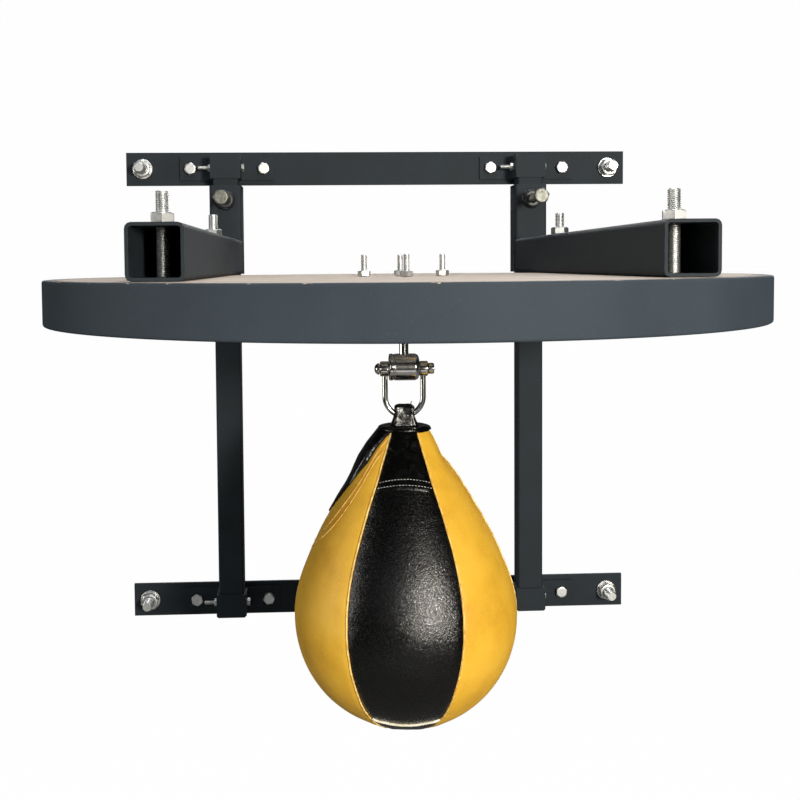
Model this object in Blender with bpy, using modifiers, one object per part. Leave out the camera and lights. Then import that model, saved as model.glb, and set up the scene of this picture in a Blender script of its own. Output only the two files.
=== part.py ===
"""Wall mounted speed bag platform.

X runs along the wall, +Y goes into the wall and +Z is up.
The origin is the middle of the top rail's back face, which lies on the wall.
The board and its arms slide down the two posts, and the bag hangs from a swivel.
"""

import bpy
import bmesh
from math import cos, pi, radians, sin, sqrt
from mathutils import Matrix, Vector

# Driving dimensions, in metres.
GAP = 0.0003                 # left between pieces that touch
RAIL_LENGTH = 0.610
RAIL_HEIGHT = 0.040
RAIL_THICK = 0.004
RAIL_SPACING = 0.530         # top rail's middle to bottom rail's middle
ANCHOR_X = 0.285
POST_X = 0.183               # each post's middle, either side of the object's middle
POST_SIZE = 0.030
POST_WALL = 0.002
POST_PAST_RAIL = 0.0125      # how far a post runs past a rail's middle
CLAMP_SHEET = 0.0025
CLAMP_HEIGHT = 0.028
CLAMP_EAR_X = 0.0572         # post's middle to the ear's end
CLAMP_BOLT_X = 0.0442
CLAMP_CORNER = 0.005
SLEEVE_SIZE = 0.038
SLEEVE_WALL = 0.003
SLEEVE_TOP = -0.0225
LOCK_Z = -0.0400
LOCK_REACH = 0.0600          # lock bolt's tip to the underside of its head
ARM_SIZE = 0.040
ARM_WALL = 0.0025
ARM_CORNER = 0.0045
ARM_FRONT = -0.588
BOARD_RADIUS = 0.300
BOARD_THICK = 0.036
BOARD_TOP = -0.128
BOARD_Y = -0.388
BOARD_ROUND = 0.0025
ARM_BOLT_Y = (-0.548, -0.189)
SWIVEL_BOLT_RADIUS = 0.034
PLATE_RADIUS = 0.045
PLATE_THICK = 0.004
STEM_RADIUS = 0.004
FLANGE_RADIUS = 0.006        # the stem's foot, which holds the barrel up
FLANGE_THICK = 0.003
BARREL_Z = -0.2068
BARREL_RADIUS = 0.0117
BARREL_HALF = 0.013
PIN_DROP = 0.0015            # pin's axis below the barrel's
PIN_RADIUS = 0.0035
WIRE_RADIUS = 0.0024
LEG_X = 0.0166               # shackle leg's middle to the swivel's middle
EYE_RADIUS = 0.0066
EYE_ENDS = (0.0134, 0.0208)  # each eye's inner and outer face
BEND_Z = -0.2328             # centre of the shackle's bend
LOOP_FOOT = (0.0125, 0.0080)     # half width and half depth
LOOP_TAPER = (0.64, 0.80)        # top's share of the foot's width and depth
BAG_WIDEST_Z = -0.424
BAG_RADIUS = 0.099
BAG_TOP = -0.2575
BAG_BOTTOM = -0.5218
NECK_RADIUS = 0.0210
NECK_FLARE = (0.0300, -0.0500)   # Bezier handle from the neck
BAG_SHOULDER = 0.0520            # Bezier handle up from the widest point
VALVE_HOLE = 0.0040
LEATHER = 0.0028
RUBBER = 0.0012
OUTLINE_STEPS = 7            # points along each half of the bag's outline

# Places worked out from the driving dimensions.
POST_Y = -RAIL_THICK - 0.0013 - POST_SIZE / 2
CLAMP_BACK = -RAIL_THICK - GAP
CLAMP_FRONT = POST_Y - POST_SIZE / 2 - GAP - CLAMP_SHEET
HAT_HALF = POST_SIZE / 2 + GAP + CLAMP_SHEET
SLEEVE_FRONT = POST_Y - SLEEVE_SIZE / 2
ARM_BOTTOM = BOARD_TOP + GAP
ARM_BACK = SLEEVE_FRONT - GAP
BOARD_BOTTOM = BOARD_TOP - BOARD_THICK
PIN_Z = BARREL_Z - PIN_DROP
SIDES = (("left", -1), ("right", 1))
LEVELS = (("top", 0.0, 1), ("bottom", -RAIL_SPACING, -1))

# Fastener sizes: thread diameter, size across flats, head or nut height.
CLAMP_BOLT = (0.008, 0.013, 0.0053)
ANCHOR = (0.012, 0.019, 0.0100)
CROSS_SCREW = (0.005, 0.008, 0.0040)
ARM_BOLT = (0.010, 0.016, 0.0080)
LOCK_BOLT = (0.010, 0.016, 0.0064)
LOCK_NUT = (0.010, 0.019, 0.0100)
SWIVEL_BOLT = (0.0055, 0.010, 0.0050)
ANCHOR_STUD = 0.0335         # how far a wall anchor's stud stands off the wall
ARM_STUD = 0.0150            # stud above an arm's nut
SWIVEL_STUD = 0.0190         # stud above the board
SWIVEL_HEAD = 0.0040         # height of the heads under the swivel's plate
ROUND_HEAD = (0.0115, 0.0085, 0.0045)    # arm bolt's head: radius, face radius, height

# Colour, roughness and metallic value of each finish.
FINISHES = {
    "powder_coat": ((0.035, 0.039, 0.041), 0.50, 0.0),
    "zinc": ((0.78, 0.78, 0.76), 0.28, 1.0),
    "chrome": ((0.85, 0.85, 0.84), 0.10, 1.0),
    "black_steel": ((0.012, 0.012, 0.013), 0.45, 0.6),
    "board_paint": ((0.075, 0.085, 0.095), 0.45, 0.0),
    "black_leather": ((0.010, 0.010, 0.011), 0.42, 0.0),
    "gold_leather": ((0.72, 0.36, 0.05), 0.45, 0.0),
    "rubber": ((0.020, 0.018, 0.016), 0.80, 0.0),
}


def new_collection(name):
    made = bpy.data.collections.new(name)
    bpy.context.scene.collection.children.link(made)
    return made


def make_finish(name, kind):
    """A Principled material of one object's own."""
    colour, roughness, metallic = FINISHES[kind]
    material = bpy.data.materials.new(name + "_" + kind)
    material.use_nodes = True
    shader = material.node_tree.nodes["Principled BSDF"]
    shader.inputs["Base Color"].default_value = (*colour, 1.0)
    shader.inputs["Roughness"].default_value = roughness
    shader.inputs["Metallic"].default_value = metallic
    material.diffuse_color = (*colour, 1.0)
    return material


def add_piece(name, mesh, kind, location=(0, 0, 0), parent=None):
    """Links a mesh as a named piece with its own finish, on the object so that meshes are shared."""
    piece = bpy.data.objects.new(name, mesh)
    parts.objects.link(piece)
    piece.location = location
    piece.parent = parent
    if not mesh.materials:
        mesh.materials.append(None)
    piece.material_slots[0].link = "OBJECT"
    piece.material_slots[0].material = make_finish(name, kind)
    return piece


def add_axis(name, location, parent=None):
    """An empty on a joint's axis, which carries what moves with it."""
    empty = bpy.data.objects.new(name, None)
    empty.empty_display_size = 0.02
    parts.objects.link(empty)
    empty.location = location
    empty.parent = parent
    return empty


def box(low, high):
    """A bmesh box between two corners."""
    low, high = Vector(low), Vector(high)
    shape = bmesh.new()
    bmesh.ops.create_cube(shape, size=1.0)
    bmesh.ops.scale(shape, vec=high - low, verts=shape.verts)
    bmesh.ops.translate(shape, vec=(low + high) / 2, verts=shape.verts)
    return shape


def cylinder(radius, start, end, axis="Z", segments=24, end_radius=None):
    """A bmesh cylinder or cone along one axis, from start to end on it."""
    shape = bmesh.new()
    other = radius if end_radius is None else end_radius
    bmesh.ops.create_cone(
        shape, cap_ends=True, segments=segments, radius1=radius, radius2=other, depth=end - start
    )
    bmesh.ops.translate(shape, vec=(0, 0, (start + end) / 2), verts=shape.verts)
    if axis == "X":
        bmesh.ops.rotate(shape, matrix=Matrix.Rotation(pi / 2, 3, "Y"), verts=shape.verts)
    if axis == "Y":
        bmesh.ops.rotate(shape, matrix=Matrix.Rotation(-pi / 2, 3, "X"), verts=shape.verts)
    return shape


def hexagon(across_flats, start, end, axis="Z"):
    return cylinder(across_flats / sqrt(3), start, end, axis, segments=6)


def moved(shape, offset):
    bmesh.ops.translate(shape, vec=offset, verts=shape.verts)
    return shape


def mesh_from(name, shape):
    mesh = bpy.data.meshes.new(name)
    shape.to_mesh(mesh)
    shape.free()
    return mesh


def tool_object(name, shape):
    """A cutter, or a shape to be joined, kept in its own collection and hidden."""
    tool = bpy.data.objects.new(name, mesh_from(name, shape))
    cutters.objects.link(tool)
    tool.hide_render = True
    tool.display_type = "WIRE"
    return tool


def combine(piece, shape, operation):
    """A Boolean modifier that cuts a shape from the piece, or joins it to it."""
    kind = {"DIFFERENCE": "cut", "UNION": "join"}[operation]
    name = f"{piece.name}_{kind}_{len(piece.modifiers)}"
    modifier = piece.modifiers.new(kind, "BOOLEAN")
    modifier.operation = operation
    modifier.solver = "EXACT"
    modifier.object = tool_object(name, shape)
    modifier.object.parent = piece
    return modifier


def cut(piece, *shapes):
    for shape in shapes:
        combine(piece, shape, "DIFFERENCE")


def join(piece, *shapes):
    for shape in shapes:
        combine(piece, shape, "UNION")


def built_mesh(name, piece):
    """The piece's mesh with its modifiers applied, for pieces that come several times."""
    bpy.context.view_layer.update()
    done = piece.evaluated_get(bpy.context.evaluated_depsgraph_get())
    mesh = bpy.data.meshes.new_from_object(done)
    mesh.name = name
    mesh.materials.clear()
    for modifier in piece.modifiers:
        bpy.data.objects.remove(modifier.object)
    bpy.data.objects.remove(piece)
    return mesh


def shade_round(mesh, degrees=35):
    mesh.shade_smooth()
    mesh.set_sharp_from_angle(angle=radians(degrees))


def turned(name, points, segments=32):
    """A shape turned about Z from (radius, height) points, top to bottom on the outside."""
    mesh = bpy.data.meshes.new(name)
    edges = [(i, i + 1) for i in range(len(points) - 1)]
    mesh.from_pydata([(r, 0, z) for r, z in points], edges, [])
    screw_holder = bpy.data.objects.new(name + "_profile", mesh)
    cutters.objects.link(screw_holder)
    screw = screw_holder.modifiers.new("turn", "SCREW")
    screw.axis = "Z"
    screw.angle = 2 * pi
    screw.screw_offset = 0
    screw.steps = segments
    screw.render_steps = segments
    screw.use_merge_vertices = True
    screw.merge_threshold = 0.00005
    return built_turn(name, screw_holder)


def built_turn(name, holder):
    bpy.context.view_layer.update()
    done = holder.evaluated_get(bpy.context.evaluated_depsgraph_get())
    mesh = bpy.data.meshes.new_from_object(done)
    mesh.name = name
    bpy.data.objects.remove(holder)
    return mesh


def rounded_square(size, corner, depth, wall=None):
    """A square tube or bar along Z with round corners, as a filled 2D curve with thickness."""
    curve = bpy.data.curves.new("section", "CURVE")
    curve.dimensions = "2D"
    curve.fill_mode = "BOTH"
    curve.extrude = depth / 2
    outlines = [(size / 2, corner)]
    if wall:
        outlines.append((size / 2 - wall, max(corner - wall, 0.0008)))
    for half, radius in outlines:
        spline = curve.splines.new("POLY")
        points = []
        for quarter in range(4):
            turn = quarter * pi / 2
            centre = Vector(((half - radius) * sqrt(2), 0))
            centre.rotate(Matrix.Rotation(turn + pi / 4, 2))
            for step in range(4):
                angle = turn + step * pi / 6
                points.append(centre + radius * Vector((cos(angle), sin(angle))))
        spline.points.add(len(points) - 1)
        for point, place in zip(spline.points, points):
            point.co = (place.x, place.y, 0, 1)
        spline.use_cyclic_u = True
    return curve


def mesh_of_curve(name, curve, turn=None):
    """The curve as a welded mesh, turned if asked."""
    holder = bpy.data.objects.new(name, curve)
    cutters.objects.link(holder)
    bpy.context.view_layer.update()
    done = holder.evaluated_get(bpy.context.evaluated_depsgraph_get())
    mesh = bpy.data.meshes.new_from_object(done)
    bpy.data.objects.remove(holder)
    shape = bmesh.new()
    shape.from_mesh(mesh)
    bmesh.ops.remove_doubles(shape, verts=shape.verts, dist=0.00001)
    if turn:
        bmesh.ops.rotate(shape, matrix=turn, verts=shape.verts)
    bmesh.ops.recalc_face_normals(shape, faces=shape.faces)
    shape.to_mesh(mesh)
    shape.free()
    mesh.name = name
    mesh.materials.clear()
    return mesh


def square_tube(name, size, wall, corner, length, along_y=False):
    turn = Matrix.Rotation(pi / 2, 3, "X") if along_y else None
    mesh = mesh_of_curve(name, rounded_square(size, corner, length, wall), turn)
    shade_round(mesh, 40)
    return mesh


def bolt_mesh(name, sizes, shank_start, shank_end, head_from, axis, washer=None):
    """A hex head or nut on a round shank, as one body. head_from is where the head starts."""
    diameter, flats, height = sizes
    blank = bpy.data.objects.new(name, mesh_from(name, cylinder(
        diameter / 2, shank_start, shank_end, axis, segments=16
    )))
    parts.objects.link(blank)
    join(blank, hexagon(flats, head_from, head_from + height, axis))
    if washer:
        radius, start, end = washer
        join(blank, cylinder(radius, start, end, axis, segments=20))
    mesh = built_mesh(name, blank)
    shade_round(mesh)
    return mesh


def nut_mesh(name, sizes, axis, clearance=0.0002):
    """A hex nut from 0 to its height along one axis."""
    diameter, flats, height = sizes
    blank = bpy.data.objects.new(name, mesh_from(name, hexagon(flats, 0, height, axis)))
    parts.objects.link(blank)
    cut(blank, cylinder(diameter / 2 + clearance, -0.01, height + 0.01, axis, segments=16))
    mesh = built_mesh(name, blank)
    shade_round(mesh)
    return mesh


def make_rails():
    """Two flat bars on the wall, with holes for the wall anchors and tapped holes for the clamps."""
    for level, z, _ in LEVELS:
        low = (-RAIL_LENGTH / 2, -RAIL_THICK, -RAIL_HEIGHT / 2)
        high = (RAIL_LENGTH / 2, 0, RAIL_HEIGHT / 2)
        bar = mesh_from("rail", box(low, high))
        rail = add_piece(level + "_rail", bar, "powder_coat", (0, 0, z))
        for _, side in SIDES:
            hole = cylinder(ANCHOR[0] / 2 + 0.0005, -0.01, 0.01, "Y", 20)
            cut(rail, moved(hole, (side * ANCHOR_X, 0, 0)))
            for way in (-1, 1):
                hole = cylinder(CLAMP_BOLT[0] / 2 + GAP, -0.01, 0.01, "Y", 16)
                cut(rail, moved(hole, (side * POST_X + way * CLAMP_BOLT_X, 0, 0)))


def make_anchors():
    """Wall anchors: a stud with its washer and nut, at each end of each rail."""
    washer_front = CLAMP_BACK - 0.0020
    mesh = bolt_mesh(
        "wall_anchor", ANCHOR, -ANCHOR_STUD, -GAP, washer_front - ANCHOR[2], "Y",
        washer=(0.012, washer_front - 0.0002, CLAMP_BACK),
    )
    for level, z, _ in LEVELS:
        for name, side in SIDES:
            add_piece(f"wall_anchor_{level}_{name}", mesh, "zinc", (side * ANCHOR_X, 0, z))


def make_posts():
    """Upright square tubes, pinned to the clamps by the cross screws."""
    length = RAIL_SPACING + 2 * POST_PAST_RAIL
    for name, side in SIDES:
        mesh = square_tube("post", POST_SIZE, POST_WALL, 0.0025, length)
        place = (side * POST_X, POST_Y, -RAIL_SPACING / 2)
        post = add_piece(name + "_post", mesh, "powder_coat", place)
        for _, z, _ in LEVELS:
            hole = cylinder(CROSS_SCREW[0] / 2 + GAP, -0.03, 0.03, "X", 16)
            cut(post, moved(hole, (0, 0, z + RAIL_SPACING / 2)))


def make_clamps():
    """Sheet clamps that wrap each post and bolt to the rail on both sides of it."""
    half = CLAMP_HEIGHT / 2
    for level, z, up in LEVELS:
        for name, side in SIDES:
            low = (-CLAMP_EAR_X, CLAMP_BACK - CLAMP_SHEET, -half)
            ears = mesh_from("clamp", box(low, (CLAMP_EAR_X, CLAMP_BACK, half)))
            place = (side * POST_X, 0, z)
            clamp = add_piece(f"{level}_{name}_clamp", ears, "powder_coat", place)
            join(clamp, box((-HAT_HALF, CLAMP_FRONT, -half), (HAT_HALF, CLAMP_BACK - 0.001, half)))
            pocket = POST_SIZE / 2 + GAP
            cut(clamp, box((-pocket, CLAMP_FRONT + CLAMP_SHEET, -0.05), (pocket, 0.01, 0.05)))
            for way in (-1, 1):
                corner = box((-CLAMP_CORNER,) * 3, (CLAMP_CORNER,) * 3)
                bmesh.ops.scale(corner, vec=(1, 4, 1), verts=corner.verts)
                bmesh.ops.rotate(corner, matrix=Matrix.Rotation(pi / 4, 3, "Y"), verts=corner.verts)
                reach = CLAMP_CORNER * sqrt(2) - 0.0045
                place = (way * (HAT_HALF + reach), CLAMP_FRONT - 0.0145, up * (half + reach))
                cut(clamp, moved(corner, place))
                hole = cylinder(CLAMP_BOLT[0] / 2 + GAP, -0.02, 0.01, "Y", 16)
                cut(clamp, moved(hole, (way * CLAMP_BOLT_X, 0, 0)))
            hole = cylinder(CROSS_SCREW[0] / 2 + GAP, -0.03, 0.03, "X", 16)
            cut(clamp, moved(hole, (0, POST_Y, 0)))


def make_clamp_bolts():
    """Hex bolts through each clamp ear into the rail."""
    face = CLAMP_BACK - CLAMP_SHEET - GAP
    mesh = bolt_mesh(
        "clamp_bolt", CLAMP_BOLT, face - 0.001, -GAP, face - CLAMP_BOLT[2], "Y"
    )
    for level, z, _ in LEVELS:
        for name, side in SIDES:
            for way, end in ((-1, "a"), (1, "b")):
                place = (side * POST_X + way * CLAMP_BOLT_X, 0, z)
                add_piece(f"clamp_bolt_{level}_{name}_{end}", mesh, "zinc", place)


def make_cross_screws():
    """Screws across each clamp and its post: head on the right, nut on the left."""
    inner = HAT_HALF + GAP
    screw = bolt_mesh(
        "cross_screw", (CROSS_SCREW[0], 0.0085, 0.0035), -inner - CROSS_SCREW[2] - 0.0115,
        inner + 0.001, inner, "X",
    )
    nut = nut_mesh("cross_nut", CROSS_SCREW, "X")
    for level, z, _ in LEVELS:
        for name, side in SIDES:
            place = (side * POST_X, POST_Y, z)
            add_piece(f"cross_screw_{level}_{name}", screw, "zinc", place)
            place = (side * POST_X - inner - CROSS_SCREW[2], POST_Y, z)
            add_piece(f"cross_nut_{level}_{name}", nut, "zinc", place)


def make_sleeves():
    """Tubes that slide on the posts, with a hole in front for the lock bolt."""
    length = SLEEVE_TOP - ARM_BOTTOM
    middle = (SLEEVE_TOP + ARM_BOTTOM) / 2
    for name, side in SIDES:
        mesh = square_tube("sleeve", SLEEVE_SIZE, SLEEVE_WALL, 0.0035, length)
        sleeve = add_piece(
            name + "_sleeve", mesh, "powder_coat", (side * POST_X, POST_Y, middle), carriage
        )
        hole = cylinder(LOCK_BOLT[0] / 2 + 0.0006, -0.03, 0, "Y", 20)
        cut(sleeve, moved(hole, (0, 0, LOCK_Z - middle)))


def make_locks():
    """Hex bolts through a welded nut that press on the posts and hold the height."""
    post_face = POST_Y - POST_SIZE / 2
    nut = nut_mesh("lock_nut", LOCK_NUT, "Y")
    head_from = -LOCK_REACH - LOCK_BOLT[2] + 0.001
    bolt = bolt_mesh("lock_bolt", LOCK_BOLT, -LOCK_REACH, -GAP, head_from, "Y")
    for name, side in SIDES:
        place = (side * POST_X, SLEEVE_FRONT - GAP - LOCK_NUT[2], LOCK_Z)
        add_piece(name + "_lock_nut", nut, "black_steel", place, carriage)
        axis = add_axis(name + "_lock_axis", (side * POST_X, post_face, LOCK_Z), carriage)
        add_piece(name + "_lock_bolt", bolt, "zinc", (0, 0, 0), axis)


def make_arms():
    """Square tubes welded to the sleeves that carry the board from above."""
    length = ARM_BACK - ARM_FRONT
    for name, side in SIDES:
        mesh = square_tube("arm", ARM_SIZE, ARM_WALL, ARM_CORNER, length, along_y=True)
        middle = (ARM_BACK + ARM_FRONT) / 2
        place = (side * POST_X, middle, ARM_BOTTOM + ARM_SIZE / 2)
        arm = add_piece(name + "_arm", mesh, "powder_coat", place, carriage)
        for y in ARM_BOLT_Y:
            hole = cylinder(ARM_BOLT[0] / 2 + 0.0005, -0.05, 0.05, "Z", 20)
            cut(arm, moved(hole, (0, y - middle, 0)))


def make_board():
    """The round board that the bag rebounds from."""
    shape = bmesh.new()
    bmesh.ops.create_cone(
        shape, cap_ends=True, segments=64, radius1=BOARD_RADIUS, radius2=BOARD_RADIUS,
        depth=BOARD_THICK,
    )
    place = (0, BOARD_Y, BOARD_TOP - BOARD_THICK / 2)
    board = add_piece("board", mesh_from("board", shape), "board_paint", place, carriage)
    rim = board.modifiers.new("rim", "BEVEL")
    rim.width = BOARD_ROUND
    rim.segments = 2
    rim.limit_method = "ANGLE"
    rim.angle_limit = radians(60)
    for _, side in SIDES:
        for y in ARM_BOLT_Y:
            hole = cylinder(ARM_BOLT[0] / 2 + 0.0005, -0.05, 0.05, "Z", 20)
            cut(board, moved(hole, (side * POST_X, y - BOARD_Y, 0)))
    for turn in range(4):
        angle = turn * pi / 2
        hole = cylinder(SWIVEL_BOLT[0] / 2 + GAP, -0.05, 0.05, "Z", 16)
        place = (SWIVEL_BOLT_RADIUS * cos(angle), SWIVEL_BOLT_RADIUS * sin(angle), 0)
        cut(board, moved(hole, place))
    shade_round(board.data)


def make_arm_bolts():
    """Round headed bolts from under the board up through each arm, with a hex nut on top."""
    head_top = BOARD_BOTTOM - GAP
    top = ARM_BOTTOM + ARM_SIZE + GAP + ARM_BOLT[2] + ARM_STUD
    blank = bpy.data.objects.new("arm_bolt", mesh_from("arm_bolt", cylinder(
        ARM_BOLT[0] / 2, head_top - 0.001, top, segments=16
    )))
    parts.objects.link(blank)
    radius, face, height = ROUND_HEAD
    join(blank, cylinder(face, head_top - height, head_top, segments=20, end_radius=radius))
    bolt = built_mesh("arm_bolt", blank)
    shade_round(bolt)
    nut = nut_mesh("arm_nut", ARM_BOLT, "Z")
    for name, side in SIDES:
        for y, end in zip(ARM_BOLT_Y, ("front", "rear")):
            place = (side * POST_X, y, 0)
            add_piece(f"arm_bolt_{name}_{end}", bolt, "zinc", place, carriage)
            place = (side * POST_X, y, ARM_BOTTOM + ARM_SIZE + GAP)
            add_piece(f"arm_nut_{name}_{end}", nut, "zinc", place, carriage)


def make_swivel_mount():
    """The plate under the board with the swivel's stem, and its four through bolts."""
    top = BOARD_BOTTOM - GAP
    bottom = top - PLATE_THICK
    flange_top = BARREL_Z + 0.0068
    flange_foot = flange_top - FLANGE_THICK
    outline = [
        (0, top), (PLATE_RADIUS - 0.001, top), (PLATE_RADIUS, top - 0.001), (PLATE_RADIUS, bottom),
        (0.011, bottom), (0.0095, bottom - 0.006), (STEM_RADIUS, bottom - 0.0075),
        (STEM_RADIUS, flange_top), (FLANGE_RADIUS, flange_top), (FLANGE_RADIUS, flange_foot),
        (0, flange_foot),
    ]
    mesh = turned("swivel_plate", outline, 24)
    shade_round(mesh)
    plate = add_piece("swivel_plate", mesh, "chrome", (0, BOARD_Y, 0), carriage)
    bolt_face = bottom - GAP
    sizes = (*SWIVEL_BOLT[:2], SWIVEL_HEAD)
    stud_top = BOARD_TOP + SWIVEL_STUD
    bolt = bolt_mesh("swivel_bolt", sizes, bolt_face - 0.001, stud_top, bolt_face - SWIVEL_HEAD, "Z")
    nut = nut_mesh("swivel_nut", SWIVEL_BOLT, "Z")
    for turn, name in enumerate(("right", "rear", "left", "front")):
        angle = turn * pi / 2
        x = SWIVEL_BOLT_RADIUS * cos(angle)
        y = SWIVEL_BOLT_RADIUS * sin(angle)
        hole = cylinder(SWIVEL_BOLT[0] / 2 + GAP, top - 0.02, top + 0.02, "Z", 16)
        cut(plate, moved(hole, (x, y, 0)))
        add_piece("swivel_bolt_" + name, bolt, "zinc", (x, BOARD_Y + y, 0), carriage)
        add_piece("swivel_nut_" + name, nut, "zinc", (x, BOARD_Y + y, BOARD_TOP + GAP), carriage)


def make_barrel():
    """The swivel's body: it turns on the stem and carries the shackle's pin."""
    shape = cylinder(BARREL_RADIUS, -BARREL_HALF, BARREL_HALF, "X", 24)
    barrel = add_piece("swivel_barrel", mesh_from("swivel_barrel", shape), "chrome",
                       (0, 0, BARREL_Z), swivel)
    rim = barrel.modifiers.new("rim", "BEVEL")
    rim.width = 0.0012
    rim.segments = 2
    rim.limit_method = "ANGLE"
    rim.angle_limit = radians(60)
    cut(
        barrel,
        cylinder(STEM_RADIUS + 0.0004, 0.005, 0.020, "Z", 24),
        cylinder(FLANGE_RADIUS + 0.0006, 0.0033, 0.0073, "Z", 24),
        moved(cylinder(PIN_RADIUS + GAP, -0.02, 0.02, "X", 24), (0, 0, -PIN_DROP)),
    )
    shade_round(barrel.data)


def make_pin():
    """The shackle's pin: domed on the left, slotted on the right."""
    outline = [
        (0, 0.0262), (0.0035, 0.0262), (0.0048, 0.0256), (0.0048, 0.0213), (PIN_RADIUS, 0.0213),
        (PIN_RADIUS, -0.0213), (0.0052, -0.0213), (0.0050, -0.0232), (0.0036, -0.0250), (0, -0.0258),
    ]
    mesh = turned("swivel_pin", outline, 20)
    mesh.transform(Matrix.Rotation(pi / 2, 4, "Y"))
    shade_round(mesh)
    pin = add_piece("swivel_pin", mesh, "chrome", (0, 0, PIN_Z), swivel)
    cut(pin, box((0.0248, -0.0007, -0.01), (0.03, 0.0007, 0.01)))


def bend_points(radius, height, z_end, steps):
    """Points of a U: down one leg, round the bend and up the other, in the XZ plane."""
    points = [Vector((-radius, 0, z_end)), Vector((-radius, 0, (z_end + height) / 2))]
    for step in range(steps + 1):
        angle = pi + step * pi / steps
        points.append(Vector((radius * cos(angle), 0, height + radius * sin(angle))))
    points += [Vector((radius, 0, (z_end + height) / 2)), Vector((radius, 0, z_end))]
    return points


def wire(name, points, radius, resolution=2):
    curve = bpy.data.curves.new(name, "CURVE")
    curve.dimensions = "3D"
    curve.bevel_depth = radius
    curve.bevel_resolution = resolution
    curve.use_fill_caps = True
    spline = curve.splines.new("POLY")
    spline.points.add(len(points) - 1)
    for point, place in zip(spline.points, points):
        point.co = (*place, 1)
    return mesh_of_curve(name, curve)


def make_shackle():
    """A bent wire with an eye at each end, hung on the pin."""
    bend = BEND_Z - PIN_Z
    mesh = wire("shackle", bend_points(LEG_X, bend, -0.0045, 10), WIRE_RADIUS)
    shade_round(mesh, 40)
    shackle = add_piece("shackle", mesh, "chrome", (0, 0, 0), pin_axis)
    for side in (-1, 1):
        inner, outer = sorted(side * end for end in EYE_ENDS)
        join(shackle, cylinder(EYE_RADIUS, inner, outer, "X", 24))
    cut(shackle, cylinder(PIN_RADIUS + GAP, -0.03, 0.03, "X", 24))


def bag_outline(inset):
    """Half outline of the bag from its top to the valve hole, moved inwards by the inset."""
    drop = BAG_WIDEST_Z - BAG_BOTTOM
    neck = Vector((NECK_RADIUS, BAG_TOP))
    widest = Vector((BAG_RADIUS, BAG_WIDEST_Z))
    handles = (neck, neck + Vector(NECK_FLARE), widest + Vector((0, BAG_SHOULDER)), widest)
    points = [Vector((0, BAG_TOP))]
    for step in range(OUTLINE_STEPS + 1):
        t = step / OUTLINE_STEPS
        weights = ((1 - t) ** 3, 3 * (1 - t) ** 2 * t, 3 * (1 - t) * t**2, t**3)
        points.append(sum((w * h for w, h in zip(weights, handles)), Vector((0, 0))))
    for step in range(1, OUTLINE_STEPS):
        angle = step / OUTLINE_STEPS * pi / 2
        points.append(Vector((BAG_RADIUS * cos(angle), BAG_WIDEST_Z - drop * sin(angle))))
    points.append(Vector((VALVE_HOLE, BAG_BOTTOM)))
    moved_points = []
    for i, point in enumerate(points):
        before = (point - points[i - 1]).normalized() if i else None
        after = (points[i + 1] - point).normalized() if i + 1 < len(points) else None
        first = before or after
        second = after or before
        inward = Vector((first.y + second.y, -first.x - second.x)) / (1 + first.dot(second))
        moved_points.append(point + inset * inward)
    moved_points[0].x = 0
    return moved_points


def turned_shell(name, outline, thick, kind):
    """An open surface turned about Z, made a wall by Solidify on its inner side."""
    mesh = turned(name, [(point.x, point.y) for point in outline])
    shade_round(mesh)
    shell = add_piece(name, mesh, kind, (0, 0, -BEND_Z), bend_axis)
    wall = shell.modifiers.new("wall", "SOLIDIFY")
    wall.thickness = thick
    wall.offset = -1
    wall.use_even_offset = True
    return shell


def make_bag():
    """Leather cover, the rubber bladder inside it and its valve neck in the cover's hole."""
    turned_shell("bag_cover", bag_outline(0), LEATHER, "gold_leather")
    inset = LEATHER + 0.0008
    neck = VALVE_HOLE - 0.0006
    tail = ((neck, BAG_BOTTOM + inset), (neck, BAG_BOTTOM - 0.0012))
    outline = bag_outline(inset)[:-1]
    turned_shell("bladder", outline + [Vector(point) for point in tail], RUBBER, "rubber")


def make_loop():
    """The folded strap that is sewn to the bag's top and passes round the shackle's bend."""
    top = BEND_Z - 0.0062
    foot = BAG_TOP + GAP
    low, high = foot - BEND_Z, top - BEND_Z
    wide, deep = LOOP_FOOT
    shape = box((-wide, -deep, low), (wide, deep, high))
    for corner in shape.verts:
        if corner.co.z > low + 0.001:
            corner.co.x *= LOOP_TAPER[0]
            corner.co.y *= LOOP_TAPER[1]
    loop = add_piece("bag_loop", mesh_from("bag_loop", shape), "black_leather", (0, 0, 0), bend_axis)
    soft = loop.modifiers.new("soft_corners", "BEVEL")
    soft.width = 0.0030
    soft.segments = 2
    soft.limit_method = "ANGLE"
    soft.angle_limit = radians(60)
    path = bend_points(LEG_X, 0, 0.02, 16)
    tunnel = bmesh.new()
    tunnel.from_mesh(wire("tunnel", path, WIRE_RADIUS + 0.0005))
    cut(loop, tunnel)
    shade_round(loop.data)


for old in list(bpy.data.objects):
    bpy.data.objects.remove(old)

parts = new_collection("speed_bag_platform")
cutters = new_collection("cutters")
carriage = add_axis("carriage", (0, 0, 0))
swivel = add_axis("swivel_axis", (0, BOARD_Y, 0), carriage)
pin_axis = add_axis("pin_axis", (0, 0, PIN_Z), swivel)
bend_axis = add_axis("bend_axis", (0, 0, BEND_Z - PIN_Z), pin_axis)

make_rails()
make_anchors()
make_posts()
make_clamps()
make_clamp_bolts()
make_cross_screws()
make_sleeves()
make_locks()
make_arms()
make_board()
make_arm_bolts()
make_swivel_mount()
make_barrel()
make_pin()
make_shackle()
make_bag()
make_loop()
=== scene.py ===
import bmesh
import bpy
import numpy as np
from math import atan2, cos, exp, hypot, pi, radians, sin, sqrt
from mathutils import Matrix, Vector, noise
from mathutils.bvhtree import BVHTree


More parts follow.
